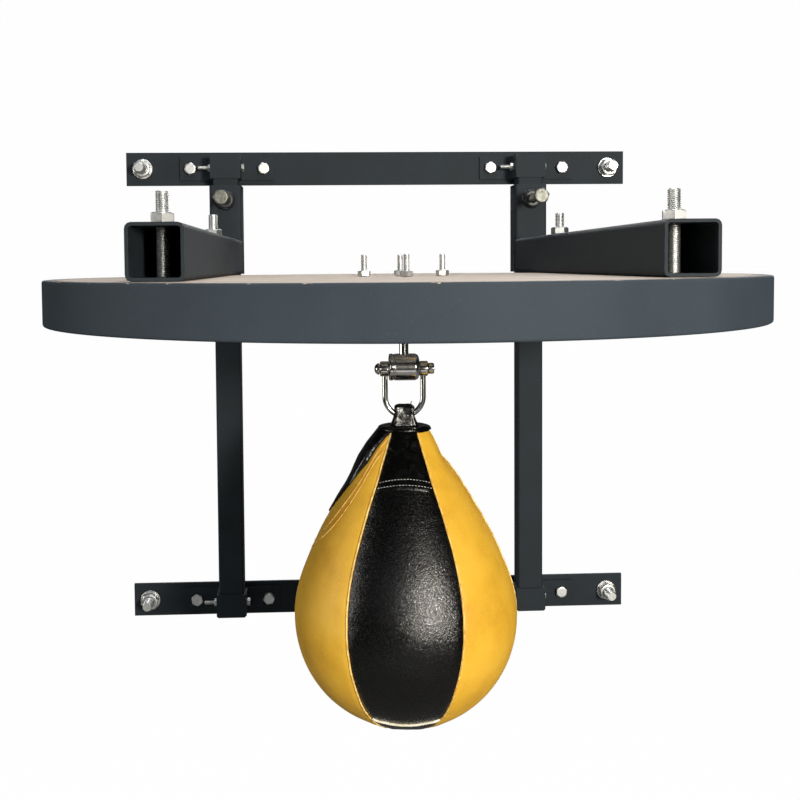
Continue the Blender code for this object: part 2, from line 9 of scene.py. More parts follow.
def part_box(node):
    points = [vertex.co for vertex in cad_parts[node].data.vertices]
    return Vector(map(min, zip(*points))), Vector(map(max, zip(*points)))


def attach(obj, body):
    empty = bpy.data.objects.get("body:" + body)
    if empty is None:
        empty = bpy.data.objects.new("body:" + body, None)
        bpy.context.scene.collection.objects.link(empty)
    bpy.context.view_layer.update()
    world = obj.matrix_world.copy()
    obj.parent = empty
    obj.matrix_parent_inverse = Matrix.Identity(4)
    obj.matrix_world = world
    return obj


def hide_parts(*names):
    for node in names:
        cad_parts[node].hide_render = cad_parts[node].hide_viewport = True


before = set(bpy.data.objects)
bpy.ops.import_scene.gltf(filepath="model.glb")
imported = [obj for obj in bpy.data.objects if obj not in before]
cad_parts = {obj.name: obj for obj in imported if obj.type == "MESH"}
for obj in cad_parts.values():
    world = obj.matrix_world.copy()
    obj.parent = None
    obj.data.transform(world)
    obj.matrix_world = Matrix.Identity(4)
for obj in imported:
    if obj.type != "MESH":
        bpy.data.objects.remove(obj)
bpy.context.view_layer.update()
mm = 0.001
print("frame loaded")

# The camera stands a little left of the middle, level with the board's top.
camera = {
    "place": (-0.0737, -1.2969, -0.1172),
    "turn": (87.116, 0.457, -2.657),
    "lens": 47.244,
    "shift": (0.0413, -0.1036),
}
lens = bpy.data.cameras.new("camera")
lens.lens = camera["lens"]
lens.shift_x, lens.shift_y = camera["shift"]
lens.clip_end = 30
eye = bpy.data.objects.new("camera", lens)
eye.location = camera["place"]
eye.rotation_euler = [radians(angle) for angle in camera["turn"]]
bpy.context.scene.collection.objects.link(eye)
bpy.context.scene.camera = eye


def hexColour(text):
    # an sRGB hex value as linear red, green, blue and alpha
    parts = [int(text[i:i + 2], 16) / 255 for i in (1, 3, 5)]
    return tuple([p / 12.92 if p <= 0.04045 else ((p + 0.055) / 1.055) ** 2.4 for p in parts] + [1.0])


common = {
    "ramp": "ShaderNodeValToRGB", "noise": "ShaderNodeTexNoise", "range": "ShaderNodeMapRange",
    "bump": "ShaderNodeBump", "mix": "ShaderNodeMix", "vector": "ShaderNodeVectorMath",
    "mapping": "ShaderNodeMapping", "split": "ShaderNodeSeparateXYZ", "combine": "ShaderNodeCombineXYZ",
}


def put(tree, kind, links=None, stops=(), **settings):
    # adds a node, sets its properties and colour stops, and fills or links its inputs;
    # a math node goes by its operation, and ramp, noise, range and bump are short for common kinds
    if kind.isupper():
        kind, settings["operation"] = "ShaderNodeMath", kind
    node = tree.nodes.new(common.get(kind, kind))
    for index, (position, colour) in enumerate(stops):
        steps = node.color_ramp.elements
        step = steps[index] if index < 2 else steps.new(position)
        step.position, step.color = position, hexColour(colour)
    for name, value in settings.items():
        setattr(node, name, value)
    for key, value in (links or {}).items():
        if isinstance(value, bpy.types.Node):
            value = value.outputs[0]
        if isinstance(value, bpy.types.NodeSocket):
            tree.links.new(value, node.inputs[key])
        else:
            node.inputs[key].default_value = value
    return node


def startMaterial(name, **sockets):
    # a Principled material, with the values that are the same all over set on its own sockets
    material = bpy.data.materials.new(name)
    material.use_nodes = True
    tree = material.node_tree
    shader = tree.nodes["Principled BSDF"]
    for socket, value in sockets.items():
        shader.inputs[socket.replace("_", " ")].default_value = value
    place = put(tree, "ShaderNodeTexCoord").outputs["Object"]
    return material, tree, shader, place


def wire(tree, shader, **sockets):
    for socket, node in sockets.items():
        output = node.outputs[0] if isinstance(node, bpy.types.Node) else node
        tree.links.new(output, shader.inputs[socket.replace("_", " ")])


steel = {
    "coatDark": "#1e252a", "coatLight": "#252d34", "coatWornAndLit": "#464e55",
    "orangePeel": 1.3 * mm, "zinc": "#e4e5e3", "zincCloud": "#c6c9ca",
}


def powderCoat(name):
    # polyester powder coat on mild steel: satin charcoal with orange peel, and paler edges in patches that are
    # partly rubbed wear and partly a painted highlight
    material, tree, shader, place = startMaterial(name, Specular_IOR_Level=0.24)
    cloud = put(tree, "noise", {"Vector": place, "Scale": 22.0, "Detail": 5.0})
    base = put(tree, "ramp", {"Fac": cloud}, [(0.32, steel["coatDark"]), (0.72, steel["coatLight"])])
    edge = put(tree, "ShaderNodeAttribute", attribute_name="edgeWearAndHighlight")
    rub = put(tree, "noise", {"Vector": place, "Scale": 260.0, "Detail": 3.0})
    patchy = put(tree, "range", {"Value": rub, "From Min": 0.42, "From Max": 0.60, "To Max": 0.8})
    # the paler edge colour is partly wear and partly a painted highlight
    wornAndHighlight = put(tree, "MULTIPLY", {0: patchy, 1: edge.outputs["Fac"]})
    colour = put(tree, "mix", {0: wornAndHighlight, 6: base, 7: hexColour(steel["coatWornAndLit"])}, data_type="RGBA")
    peel = put(tree, "noise", {
        "Vector": place, "Scale": 1 / steel["orangePeel"], "Detail": 2.0, "Roughness": 0.4,
    })
    gloss = put(tree, "range", {"Value": cloud, "To Min": 0.60, "To Max": 0.74})
    bump = put(tree, "bump", {"Strength": 0.11, "Distance": 0.4 * mm, "Height": peel})
    wire(tree, shader, Base_Color=colour.outputs[2], Roughness=gloss, Normal=bump)
    return material


def zincPlate(name, light, cloudy, rough):
    # electroplated zinc: bright cool metal with cloudy passivation and faint handling marks
    material, tree, shader, place = startMaterial(name, Metallic=1.0)
    cloud = put(tree, "noise", {"Vector": place, "Scale": 240.0, "Detail": 6.0})
    base = put(tree, "ramp", {"Fac": cloud}, [(0.30, cloudy), (0.66, light)])
    gloss = put(tree, "range", {"Value": cloud, "To Min": rough + 0.12, "To Max": rough - 0.06})
    grit = put(tree, "noise", {"Vector": place, "Scale": 2200.0, "Detail": 2.0})
    bump = put(tree, "bump", {"Strength": 0.10, "Distance": 0.1 * mm, "Height": grit})
    wire(tree, shader, Base_Color=base, Roughness=gloss, Normal=bump)
    return material


def chromePlate(name):
    # chrome plate over polished steel: near mirror, with fine swirl marks and faint haze
    material, tree, shader, place = startMaterial(name, Metallic=1.0)
    haze = put(tree, "noise", {"Vector": place, "Scale": 160.0, "Detail": 5.0})
    base = put(tree, "ramp", {"Fac": haze}, [(0.35, "#d9d7d2"), (0.70, "#eeeeec")])
    gloss = put(tree, "range", {"Value": haze, "To Min": 0.10, "To Max": 0.22})
    long = put(tree, "mapping", {"Vector": place, "Scale": (300, 2600, 2600)})
    swirl = put(tree, "noise", {"Vector": long, "Scale": 1.0, "Detail": 2.0})
    bump = put(tree, "bump", {"Strength": 0.05, "Distance": 0.08 * mm, "Height": swirl})
    wire(tree, shader, Base_Color=base, Roughness=gloss, Normal=bump)
    return material


def weldSteel(name):
    # painted weld metal and nut: near black, lumpy, half gloss, darker in the hollows between the lumps as
    # painted shade
    material, tree, shader, place = startMaterial(name, Specular_IOR_Level=0.5)
    lump = put(tree, "noise", {"Vector": place, "Scale": 420.0, "Detail": 6.0, "Roughness": 0.6})
    # the lump height also sets the colour, darker where it dips: painted shade
    base = put(tree, "ramp", {"Fac": lump}, [(0.30, "#101113"), (0.75, "#2a2d30")])
    gloss = put(tree, "range", {"Value": lump, "To Min": 0.55, "To Max": 0.33})
    bump = put(tree, "bump", {"Strength": 0.35, "Distance": 0.5 * mm, "Height": lump})
    wire(tree, shader, Base_Color=base, Roughness=gloss, Normal=bump)
    return material


boardLook = {
    "paint": "#3a434c", "paintDark": "#333c44", "chip": "#c3b39c",
    "woodLight": "#ddd3c6", "woodDark": "#8f8073", "chipReach": 2.6 * mm,
    "grainLength": 260 * mm, "grainWidth": 5 * mm,
}


def boardPaint(name, topHeight):
    # brushed slate enamel on a routed board edge: satin, faint vertical drags, chips at the top arris
    material, tree, shader, place = startMaterial(name, Specular_IOR_Level=0.20)
    blotch = put(tree, "noise", {"Vector": place, "Scale": 14.0, "Detail": 6.0, "Roughness": 0.55})
    tones = [(0.30, boardLook["paintDark"]), (0.70, boardLook["paint"])]
    base = put(tree, "ramp", {"Fac": blotch}, tones)
    speck = put(tree, "noise", {"Vector": place, "Scale": 700.0, "Detail": 2.0})
    dust = put(tree, "range", {"Value": speck, "From Min": 0.68, "From Max": 0.80, "To Max": 0.25})
    dusty = put(tree, "mix", {0: dust, 6: base, 7: hexColour("#76807f")}, data_type="RGBA")
    height = put(tree, "split", {"Vector": place})
    near = put(tree, "range", {
        "Value": height.outputs["Z"], "From Min": topHeight - boardLook["chipReach"], "From Max": topHeight,
    })
    crumb = put(tree, "noise", {"Vector": place, "Scale": 130.0, "Detail": 7.0, "Roughness": 0.7})
    both = put(tree, "MULTIPLY_ADD", {0: near, 1: 0.30, 2: crumb})
    chip = put(tree, "range", {"Value": both, "From Min": 0.86, "From Max": 0.90})
    colour = put(tree, "mix", {0: chip, 6: dusty.outputs[2], 7: hexColour(boardLook["chip"])},
                 data_type="RGBA")
    drag = put(tree, "mapping", {"Vector": place, "Scale": (900, 900, 90)})
    brush = put(tree, "noise", {"Vector": drag, "Scale": 1.0, "Detail": 3.0})
    relief = put(tree, "MULTIPLY_ADD", {0: chip, 1: -1.4, 2: brush})
    bump = put(tree, "bump", {"Strength": 0.14, "Distance": 0.5 * mm, "Height": relief})
    gloss = put(tree, "range", {"Value": blotch, "To Min": 0.66, "To Max": 0.80})
    wire(tree, shader, Base_Color=colour.outputs[2], Roughness=gloss, Normal=bump)
    return material


def bareBoard(name, centre, radius):
    # sanded, unpainted timber face: dull, long grain along the wall, grey overspray near the rim
    material, tree, shader, place = startMaterial(name, Specular_IOR_Level=0.3)
    run = put(tree, "mapping", {
        "Vector": place,
        "Scale": (1 / boardLook["grainLength"], 1 / boardLook["grainWidth"], 40),
    })
    grain = put(tree, "noise", {"Vector": run, "Scale": 1.0, "Detail": 7.0, "Roughness": 0.62})
    base = put(tree, "ramp", {"Fac": grain}, [
        (0.28, boardLook["woodDark"]), (0.50, "#c9b9aa"), (0.72, boardLook["woodLight"]),
    ])
    pore = put(tree, "mapping", {"Vector": place, "Scale": (60, 1100, 1100)})
    fleck = put(tree, "noise", {"Vector": pore, "Scale": 1.0, "Detail": 3.0})
    out = put(tree, "mapping", {"Vector": place, "Location": (-centre[0], -centre[1], 0),
                                "Scale": (1, 1, 0)})
    reach = put(tree, "vector", {0: out}, operation="LENGTH")
    mist = put(tree, "noise", {"Vector": place, "Scale": 55.0, "Detail": 6.0})
    drift = put(tree, "MULTIPLY_ADD", {0: mist, 1: 0.022, 2: reach.outputs["Value"]})
    spray = put(tree, "range", {"Value": drift, "From Min": radius - 0.008, "From Max": radius + 0.006,
                                "To Max": 0.85})
    colour = put(tree, "mix", {0: spray, 6: base, 7: hexColour("#5a6064")}, data_type="RGBA")
    bump = put(tree, "bump", {"Strength": 0.3, "Distance": 0.3 * mm, "Height": fleck})
    gloss = put(tree, "range", {"Value": fleck, "To Min": 0.62, "To Max": 0.82})
    wire(tree, shader, Base_Color=colour.outputs[2], Roughness=gloss, Normal=bump)
    return material


leather = {
    "gold": ("#cd992a", "#e8b437", "#f0c248"), "black": ("#030303", "#050505", "#090a0b"),
    "pebble": 1.0 * mm,      # a little coarser than real split leather, so that it shows
    # edge is pale cream as a painted highlight on the turned gold edges
    # thread is pale grey as a painted highlight on black thread
    "piping": "#f1ede0", "edge": "#f8e09a", "thread": "#c9cbc8", "orangeThread": "#f7c777",
    "rubber": "#141312",
}


def coatedLeather(name, tones, shine, rough, pebbleDepth, creaseDepth, creaseSize):
    # pigment-coated cowhide: fine pebbles with painted shade in the hollows between them, stretch creases,
    # broken highlights
    material, tree, shader, place = startMaterial(name, Specular_IOR_Level=shine)
    warp = put(tree, "noise", {"Vector": place, "Scale": 320.0, "Detail": 2.0})
    mixed = put(tree, "mix", {0: 0.0016, 4: place, 5: warp.outputs["Color"]}, data_type="VECTOR")
    pebble = put(tree, "ShaderNodeTexVoronoi", {
        "Vector": mixed.outputs[1], "Scale": 1 / leather["pebble"], "Smoothness": 0.5,
    }, feature="SMOOTH_F1")
    hide = put(tree, "noise", {"Vector": place, "Scale": 26.0, "Detail": 6.0, "Roughness": 0.6})
    # the hide's random tone, darkened at the pebbles' edges as painted shade in their hollows
    hideToneAndPebbleShade = put(tree, "MULTIPLY_ADD", {0: pebble.outputs["Distance"], 1: -0.16, 2: hide})
    base = put(tree, "ramp", {"Fac": hideToneAndPebbleShade}, [(0.10, tones[0]), (0.42, tones[1]), (0.75, tones[2])])
    crease = put(tree, "noise", {
        "Vector": place, "Scale": 1 / creaseSize, "Detail": 5.0, "Distortion": 0.8,
    })
    gloss = put(tree, "range", {
        "Value": crease, "From Min": 0.3, "From Max": 0.7, "To Min": rough - 0.08, "To Max": rough + 0.12,
    })
    small = put(tree, "bump", {
        "Strength": pebbleDepth, "Distance": 0.5 * mm, "Height": pebble.outputs["Distance"],
    }, invert=True)
    bump = put(tree, "bump", {
        "Strength": creaseDepth, "Distance": 1.0 * mm, "Height": crease, "Normal": small,
    })
    wire(tree, shader, Base_Color=base, Roughness=gloss, Normal=bump)
    return material


def softTrim(name, colour, shade, rough, weave):
    # piping, thread and rubber: a matt skin with a fine twist or speckle and grime in the hollows
    material, tree, shader, place = startMaterial(name, Specular_IOR_Level=0.4)
    grime = put(tree, "noise", {"Vector": place, "Scale": 190.0, "Detail": 5.0})
    base = put(tree, "ramp", {"Fac": grime}, [(0.30, shade), (0.60, colour)])
    twist = put(tree, "noise", {"Vector": place, "Scale": 1 / weave, "Detail": 2.0})
    gloss = put(tree, "range", {"Value": grime, "To Min": rough + 0.1, "To Max": rough - 0.05})
    bump = put(tree, "bump", {"Strength": 0.3, "Distance": 0.2 * mm, "Height": twist})
    wire(tree, shader, Base_Color=base, Roughness=gloss, Normal=bump)
    return material


boardLow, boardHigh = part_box("board")
boardMiddle = (boardLow + boardHigh) / 2
boardRadius = (boardHigh.x - boardLow.x) / 2
coat = powderCoat("satinPowderCoat")
brightZinc = zincPlate("brightZincPlate", steel["zinc"], steel["zincCloud"], 0.40)
dullZinc = zincPlate("dullZincPlate", "#85867f", "#5e5f5b", 0.50)
chrome = chromePlate("polishedChrome")
weldBlack = weldSteel("paintedWeld")
rimPaint = boardPaint("brushedBoardEnamel", boardHigh.z)
bareWood = bareBoard("sandedBareTimber", boardMiddle, boardRadius)
goldHide = coatedLeather("goldCoatedLeather", leather["gold"], 0.32, 0.46, 0.26, 0.10, 2.2 * mm)
blackHide = coatedLeather("blackCoatedLeather", leather["black"], 0.50, 0.24, 0.44, 0.10, 1.6 * mm)
patentHide = coatedLeather("glossyBlackLeather", leather["black"], 0.50, 0.21, 0.12, 0.60, 6 * mm)
pipingSkin = softTrim("whitePipingVinyl", leather["piping"], "#d8cda8", 0.45, 0.6 * mm)
# the turned gold edge coloured pale cream: a painted highlight
edgeHighlightSkin = softTrim("turnedEdgePaintedHighlight", leather["edge"], "#c8952f", 0.45, 0.6 * mm)
# black thread coloured pale grey: a painted highlight standing in for its gloss
sheenedBlackThread = softTrim("blackThreadPaintedSheen", leather["thread"], "#75777a", 0.45, 0.3 * mm)
orangeThread = softTrim("orangeThread", leather["orangeThread"], "#c98522", 0.5, 0.3 * mm)
rubberSkin = softTrim("butylRubber", leather["rubber"], "#080808", 0.6, 0.5 * mm)
print("materials made")


def newPiece(name, verts, faces, *materials):
    mesh = bpy.data.meshes.new(name)
    mesh.from_pydata([tuple(v) for v in verts], [], faces)
    mesh.validate()
    piece = bpy.data.objects.new(name, mesh)
    bpy.context.scene.collection.objects.link(piece)
    for material in materials:
        mesh.materials.append(material)
    return piece


def settle(piece):
    # makes the modifiers' result the piece's own plain mesh
    bpy.context.view_layer.update()
    graph = bpy.context.evaluated_depsgraph_get()
    mesh = bpy.data.meshes.new_from_object(piece.evaluated_get(graph), preserve_all_data_layers=True,
                                           depsgraph=graph)
    piece.modifiers.clear()
    piece.data = mesh
    return piece


def smooth(piece, angle=35, level=False):
    # level keeps big flat faces flat between rounded edges
    piece.data.shade_smooth()
    piece.data.set_sharp_from_angle(angle=radians(angle))
    if level:
        weigh = piece.modifiers.new("level", "WEIGHTED_NORMAL")
        weigh.weight = 100
        weigh.keep_sharp = True
        settle(piece)
    return piece


def fixNormals(piece):
    shape = bmesh.new()
    shape.from_mesh(piece.data)
    bmesh.ops.remove_doubles(shape, verts=shape.verts, dist=0.01 * mm)
    bmesh.ops.recalc_face_normals(shape, faces=shape.faces)
    shape.to_mesh(piece.data)
    shape.free()
    return piece


def hand(piece, body, slot, *nodes):
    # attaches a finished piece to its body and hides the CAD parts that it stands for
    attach(piece, body)
    if nodes:
        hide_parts(*nodes)
    return piece


def join(first, *others):
    # several pieces of one finish as one mesh
    shape = bmesh.new()
    for piece in (first, *others):
        shape.from_mesh(piece.data)
    shape.to_mesh(first.data)
    shape.free()
    for piece in others:
        bpy.data.objects.remove(piece)
    return first


def tubeFaces(rows, sides):
    # the faces of a closed tube of rings, with both its ends
    faces = []
    for i in range(rows - 1):
        for k in range(sides):
            a, b = i * sides + k, i * sides + (k + 1) % sides
            faces.append((a, b, b + sides, a + sides))
    faces.append(tuple(reversed(range(sides))))
    faces.append(tuple(range((rows - 1) * sides, rows * sides)))
    return faces


def sweep(points, radius, sides=10):
    # vertices and faces of a round bar along a path
    count = len(points)
    points = [Vector(p) for p in points]
    verts, side = [], None
    for i, point in enumerate(points):
        along = (points[min(i + 1, count - 1)] - points[max(i - 1, 0)]).normalized()
        if side is None:
            side = along.orthogonal().normalized()
        side = (side - along * side.dot(along)).normalized()
        other = along.cross(side)
        for k in range(sides):
            angle = 2 * pi * k / sides
            verts.append(point + radius * (cos(angle) * side + sin(angle) * other))
    return verts, tubeFaces(count, sides)


def lathe(outline, centre=(0, 0, 0), axis="Z", segments=64):
    # vertices and faces turned from (radius, distance along the axis); ends on the axis are closed
    verts, faces = [], []
    starts = []
    turn = Matrix.Rotation(pi / 2, 3, "Y") if axis == "X" else Matrix.Identity(3)
    for radius, height in outline:
        starts.append((len(verts), radius < 1e-7))
        for k in range(1 if radius < 1e-7 else segments):
            angle = 2 * pi * k / segments
            spot = Vector((radius * cos(angle), radius * sin(angle), height))
            verts.append(turn @ spot + Vector(centre))
    for (a, poleA), (b, poleB) in zip(starts, starts[1:]):
        for k in range(segments):
            n = (k + 1) % segments
            if poleA and not poleB:
                faces.append((a, b + k, b + n))
            elif poleB and not poleA:
                faces.append((a + n, a + k, b))
            elif not poleA:
                faces.append((a + k, b + k, b + n, a + n))
    return verts, faces


def fillet(outline, radius, steps=4):
    # rounds the inner corners of an outline of (radius, height) points
    points = [Vector(outline[0])]
    for before, corner, after in zip(outline, outline[1:], outline[2:]):
        before, corner, after = Vector(before), Vector(corner), Vector(after)
        reach = min(radius, (before - corner).length * 0.45, (after - corner).length * 0.45)
        start = corner + (before - corner).normalized() * reach
        end = corner + (after - corner).normalized() * reach
        for i in range(steps + 1):
            t = i / steps
            points.append((1 - t) ** 2 * start + 2 * (1 - t) * t * corner + t**2 * end)
    points.append(Vector(outline[-1]))
    return [tuple(p) for p in points]


def newTree(name, inputs):
    tree = bpy.data.node_groups.new(name, "GeometryNodeTree")
    face = tree.interface
    face.new_socket("Geometry", in_out="INPUT", socket_type="NodeSocketGeometry")
    for label, kind, value in inputs:
        socket = face.new_socket(label, in_out="INPUT", socket_type="NodeSocket" + kind)
        if value is not None:
            socket.default_value = value
    face.new_socket("Geometry", in_out="OUTPUT", socket_type="NodeSocketGeometry")
    return tree, put(tree, "NodeGroupInput").outputs, put(tree, "NodeGroupOutput")


def useTree(piece, tree, values):
    # sets each named input by its identifier, makes the result plain, then smooths it
    modifier = piece.modifiers.new(tree.name, "NODES")
    modifier.node_group = tree
    for item in tree.interface.items_tree:
        if item.in_out == "INPUT" and item.name in values:
            modifier[item.identifier] = values[item.name]
    return smooth(settle(piece), 30)


def hexTree():
    # a chamfered hexagon on a base at 0, with a countersunk top for a nut
    tree, given, end = newTree("hexBlock", [
        ("Across Flats", "Float", 0.013), ("Height", "Float", 0.006), ("Countersink", "Float", 0.0),
    ])
    block = put(tree, "GeometryNodeMeshCylinder", {
        "Vertices": 48, "Side Segments": 10, "Fill Segments": 6, "Radius": 1.0, "Depth": given["Height"],
    }, fill_type="TRIANGLE_FAN")
    split = put(tree, "split", {"Vector": put(tree, "GeometryNodeInputPosition")})
    x, y, z = split.outputs
    angle = put(tree, "ARCTAN2", {0: y, 1: x})
    sector = put(tree, "WRAP", {0: angle, 1: pi / 6, 2: -pi / 6})
    flat = put(tree, "MULTIPLY", {0: given["Across Flats"], 1: 0.5})
    side = put(tree, "DIVIDE", {0: flat, 1: put(tree, "COSINE", {0: sector})})
    # rows crowd towards both faces, so that the chamfer is smooth
    share = put(tree, "DIVIDE", {0: z, 1: given["Height"]})
    bent = put(tree, "SINE", {0: put(tree, "MULTIPLY", {0: share, 1: pi})})
    half = put(tree, "MULTIPLY", {0: given["Height"], 1: 0.5})
    level = put(tree, "MULTIPLY", {0: bent, 1: half})
    drop = put(tree, "SUBTRACT", {0: half, 1: put(tree, "ABSOLUTE", {0: level})})
    crown = put(tree, "MULTIPLY", {0: flat, 1: 0.94})
    cone = put(tree, "MULTIPLY_ADD", {0: drop, 1: 1.9, 2: crown})
    limit = put(tree, "MINIMUM", {0: side, 1: cone})
    newX = put(tree, "MULTIPLY", {0: x, 1: limit})
    newY = put(tree, "MULTIPLY", {0: y, 1: limit})
    flatSpot = put(tree, "combine", {"X": newX, "Y": newY})
    away = put(tree, "vector", {0: flatSpot}, operation="LENGTH")
    sink = put(tree, "SUBTRACT", {0: given["Countersink"], 1: away.outputs["Value"]})
    sunk = put(tree, "MINIMUM", {0: put(tree, "MAXIMUM", {0: sink, 1: 0.0}), 1: 0.001})
    lift = put(tree, "ADD", {0: level, 1: half})
    isTop = put(tree, "GREATER_THAN", {0: share, 1: 0.4999})
    dip = put(tree, "MULTIPLY", {0: sunk, 1: isTop})
    newZ = put(tree, "SUBTRACT", {0: lift, 1: dip})
    spot = put(tree, "combine", {"X": newX, "Y": newY, "Z": newZ})
    shaped = put(tree, "GeometryNodeSetPosition", {"Geometry": block, "Position": spot})
    tree.links.new(shaped.outputs[0], end.inputs[0])
    return tree


def rodTree():
    # a threaded rod from start to end along Z, its helix cut into the radius
    tree, given, end = newTree("threadedRod", [
        ("Diameter", "Float", 0.008), ("Pitch", "Float", 0.00125), ("Start", "Float", 0.0),
        ("End", "Float", 0.02), ("Sides", "Int", 20),
    ])
    length = put(tree, "SUBTRACT", {0: given["End"], 1: given["Start"]})
    turns = put(tree, "DIVIDE", {0: length, 1: given["Pitch"]})
    rows = put(tree, "MULTIPLY", {0: turns, 1: 6.0})
    block = put(tree, "GeometryNodeMeshCylinder", {
        "Vertices": given["Sides"], "Side Segments": rows, "Radius": 1.0, "Depth": length,
    }, fill_type="NGON")
    split = put(tree, "split", {"Vector": put(tree, "GeometryNodeInputPosition")})
    x, y, z = split.outputs
    angle = put(tree, "ARCTAN2", {0: y, 1: x})
    part = put(tree, "DIVIDE", {0: angle, 1: 2 * pi})
    risen = put(tree, "DIVIDE", {0: z, 1: given["Pitch"]})
    phase = put(tree, "FRACT", {0: put(tree, "SUBTRACT", {0: risen, 1: part})})
    off = put(tree, "SUBTRACT", {0: phase, 1: 0.5})
    tooth = put(tree, "MULTIPLY", {0: put(tree, "ABSOLUTE", {0: off}), 1: given["Pitch"]})
    full = put(tree, "MULTIPLY", {0: given["Diameter"], 1: 0.5})
    cut = put(tree, "MULTIPLY_ADD", {0: tooth, 1: -1.1, 2: full})
    half = put(tree, "MULTIPLY", {0: length, 1: 0.5})
    toEnd = put(tree, "SUBTRACT", {0: half, 1: put(tree, "ABSOLUTE", {0: z})})
    slope = put(tree, "ADD", {0: toEnd, 1: put(tree, "MULTIPLY", {0: full, 1: 0.84})})
    limit = put(tree, "MINIMUM", {0: cut, 1: slope})
    middle = put(tree, "ADD", {0: given["Start"], 1: half})
    spot = put(tree, "combine", {
        "X": put(tree, "MULTIPLY", {0: x, 1: limit}),
        "Y": put(tree, "MULTIPLY", {0: y, 1: limit}),
        "Z": put(tree, "ADD", {0: z, 1: middle}),
    })
    shaped = put(tree, "GeometryNodeSetPosition", {"Geometry": block, "Position": spot})
    tree.links.new(shaped.outputs[0], end.inputs[0])
    return tree


def washerTree():
    # a punched washer under a nut: its upper edge is rounded over
    tree, given, end = newTree("punchedWasher", [
        ("Radius", "Float", 0.012), ("Thickness", "Float", 0.002),
    ])
    block = put(tree, "GeometryNodeMeshCylinder", {
        "Vertices": 48, "Side Segments": 6, "Fill Segments": 2, "Radius": 1.0, "Depth": given["Thickness"],
    }, fill_type="TRIANGLE_FAN")
    split = put(tree, "split", {"Vector": put(tree, "GeometryNodeInputPosition")})
    x, y, z = split.outputs
    half = put(tree, "MULTIPLY", {0: given["Thickness"], 1: 0.5})
    share = put(tree, "DIVIDE", {0: z, 1: half})
    bulge = put(tree, "POWER", {0: share, 1: 4.0})
    edge = put(tree, "MULTIPLY_ADD", {0: bulge, 1: -0.0005, 2: given["Radius"]})
    spot = put(tree, "combine", {
        "X": put(tree, "MULTIPLY", {0: x, 1: edge}),
        "Y": put(tree, "MULTIPLY", {0: y, 1: edge}),
        "Z": put(tree, "SUBTRACT", {0: z, 1: half}),
    })
    shaped = put(tree, "GeometryNodeSetPosition", {"Geometry": block, "Position": spot})
    tree.links.new(shaped.outputs[0], end.inputs[0])
    return tree


def fastenerTree():
    # a head or nut, its rod and its washer on every vertex, turned by the vertex's own roll
    tree, given, end = newTree("fastenerSet", [
        ("Across Flats", "Float", 0.013), ("Head Height", "Float", 0.006), ("Countersink", "Float", 0.0),
        ("Rod Diameter", "Float", 0.008), ("Pitch", "Float", 0.00125), ("Rod Start", "Float", -0.01),
        ("Rod End", "Float", 0.0), ("Rod Sides", "Int", 20), ("Washer Radius", "Float", 0.0),
        ("Washer Thickness", "Float", 0.0), ("Turn", "Vector", (0, 0, 0)), ("Axis", "Vector", (0, 0, 1)),
        ("Finish", "Material", None),
    ])
    head = put(tree, "GeometryNodeGroup", node_tree=hexTree())
    for name, source in (("Across Flats", "Across Flats"), ("Height", "Head Height"),
                         ("Countersink", "Countersink")):
        tree.links.new(given[source], head.inputs[name])
    rod = put(tree, "GeometryNodeGroup", node_tree=rodTree())
    for name, source in (("Diameter", "Rod Diameter"), ("Pitch", "Pitch"), ("Start", "Rod Start"),
                         ("End", "Rod End"), ("Sides", "Rod Sides")):
        tree.links.new(given[source], rod.inputs[name])
    washer = put(tree, "GeometryNodeGroup", node_tree=washerTree())
    tree.links.new(given["Washer Radius"], washer.inputs["Radius"])
    tree.links.new(given["Washer Thickness"], washer.inputs["Thickness"])
    hasRod = put(tree, "FunctionNodeCompare", {0: given["Rod End"], 1: given["Rod Start"]},
                 operation="GREATER_THAN")
    hasWasher = put(tree, "FunctionNodeCompare", {0: given["Washer Radius"], 1: 0.0},
                    operation="GREATER_THAN")
    rodOn = put(tree, "GeometryNodeSwitch", {"Switch": hasRod, "True": rod}, input_type="GEOMETRY")
    washerOn = put(tree, "GeometryNodeSwitch", {"Switch": hasWasher, "True": washer},
                   input_type="GEOMETRY")
    whole = put(tree, "GeometryNodeJoinGeometry")
    for node in (head, rodOn, washerOn):
        tree.links.new(node.outputs[0], whole.inputs[0])
    turned = put(tree, "GeometryNodeTransform", {"Geometry": whole, "Rotation": given["Turn"]})
    roll = put(tree, "GeometryNodeInputNamedAttribute", {"Name": "roll"}, data_type="FLOAT")
    spin = put(tree, "vector", {0: given["Axis"], "Scale": roll}, operation="SCALE")
    spread = put(tree, "GeometryNodeInstanceOnPoints", {
        "Points": given["Geometry"], "Instance": turned, "Rotation": spin,
    })
    real = put(tree, "GeometryNodeRealizeInstances", {"Geometry": spread})
    finished = put(tree, "GeometryNodeSetMaterial", {"Geometry": real, "Material": given["Finish"]})
    tree.links.new(finished.outputs[0], end.inputs[0])
    return tree


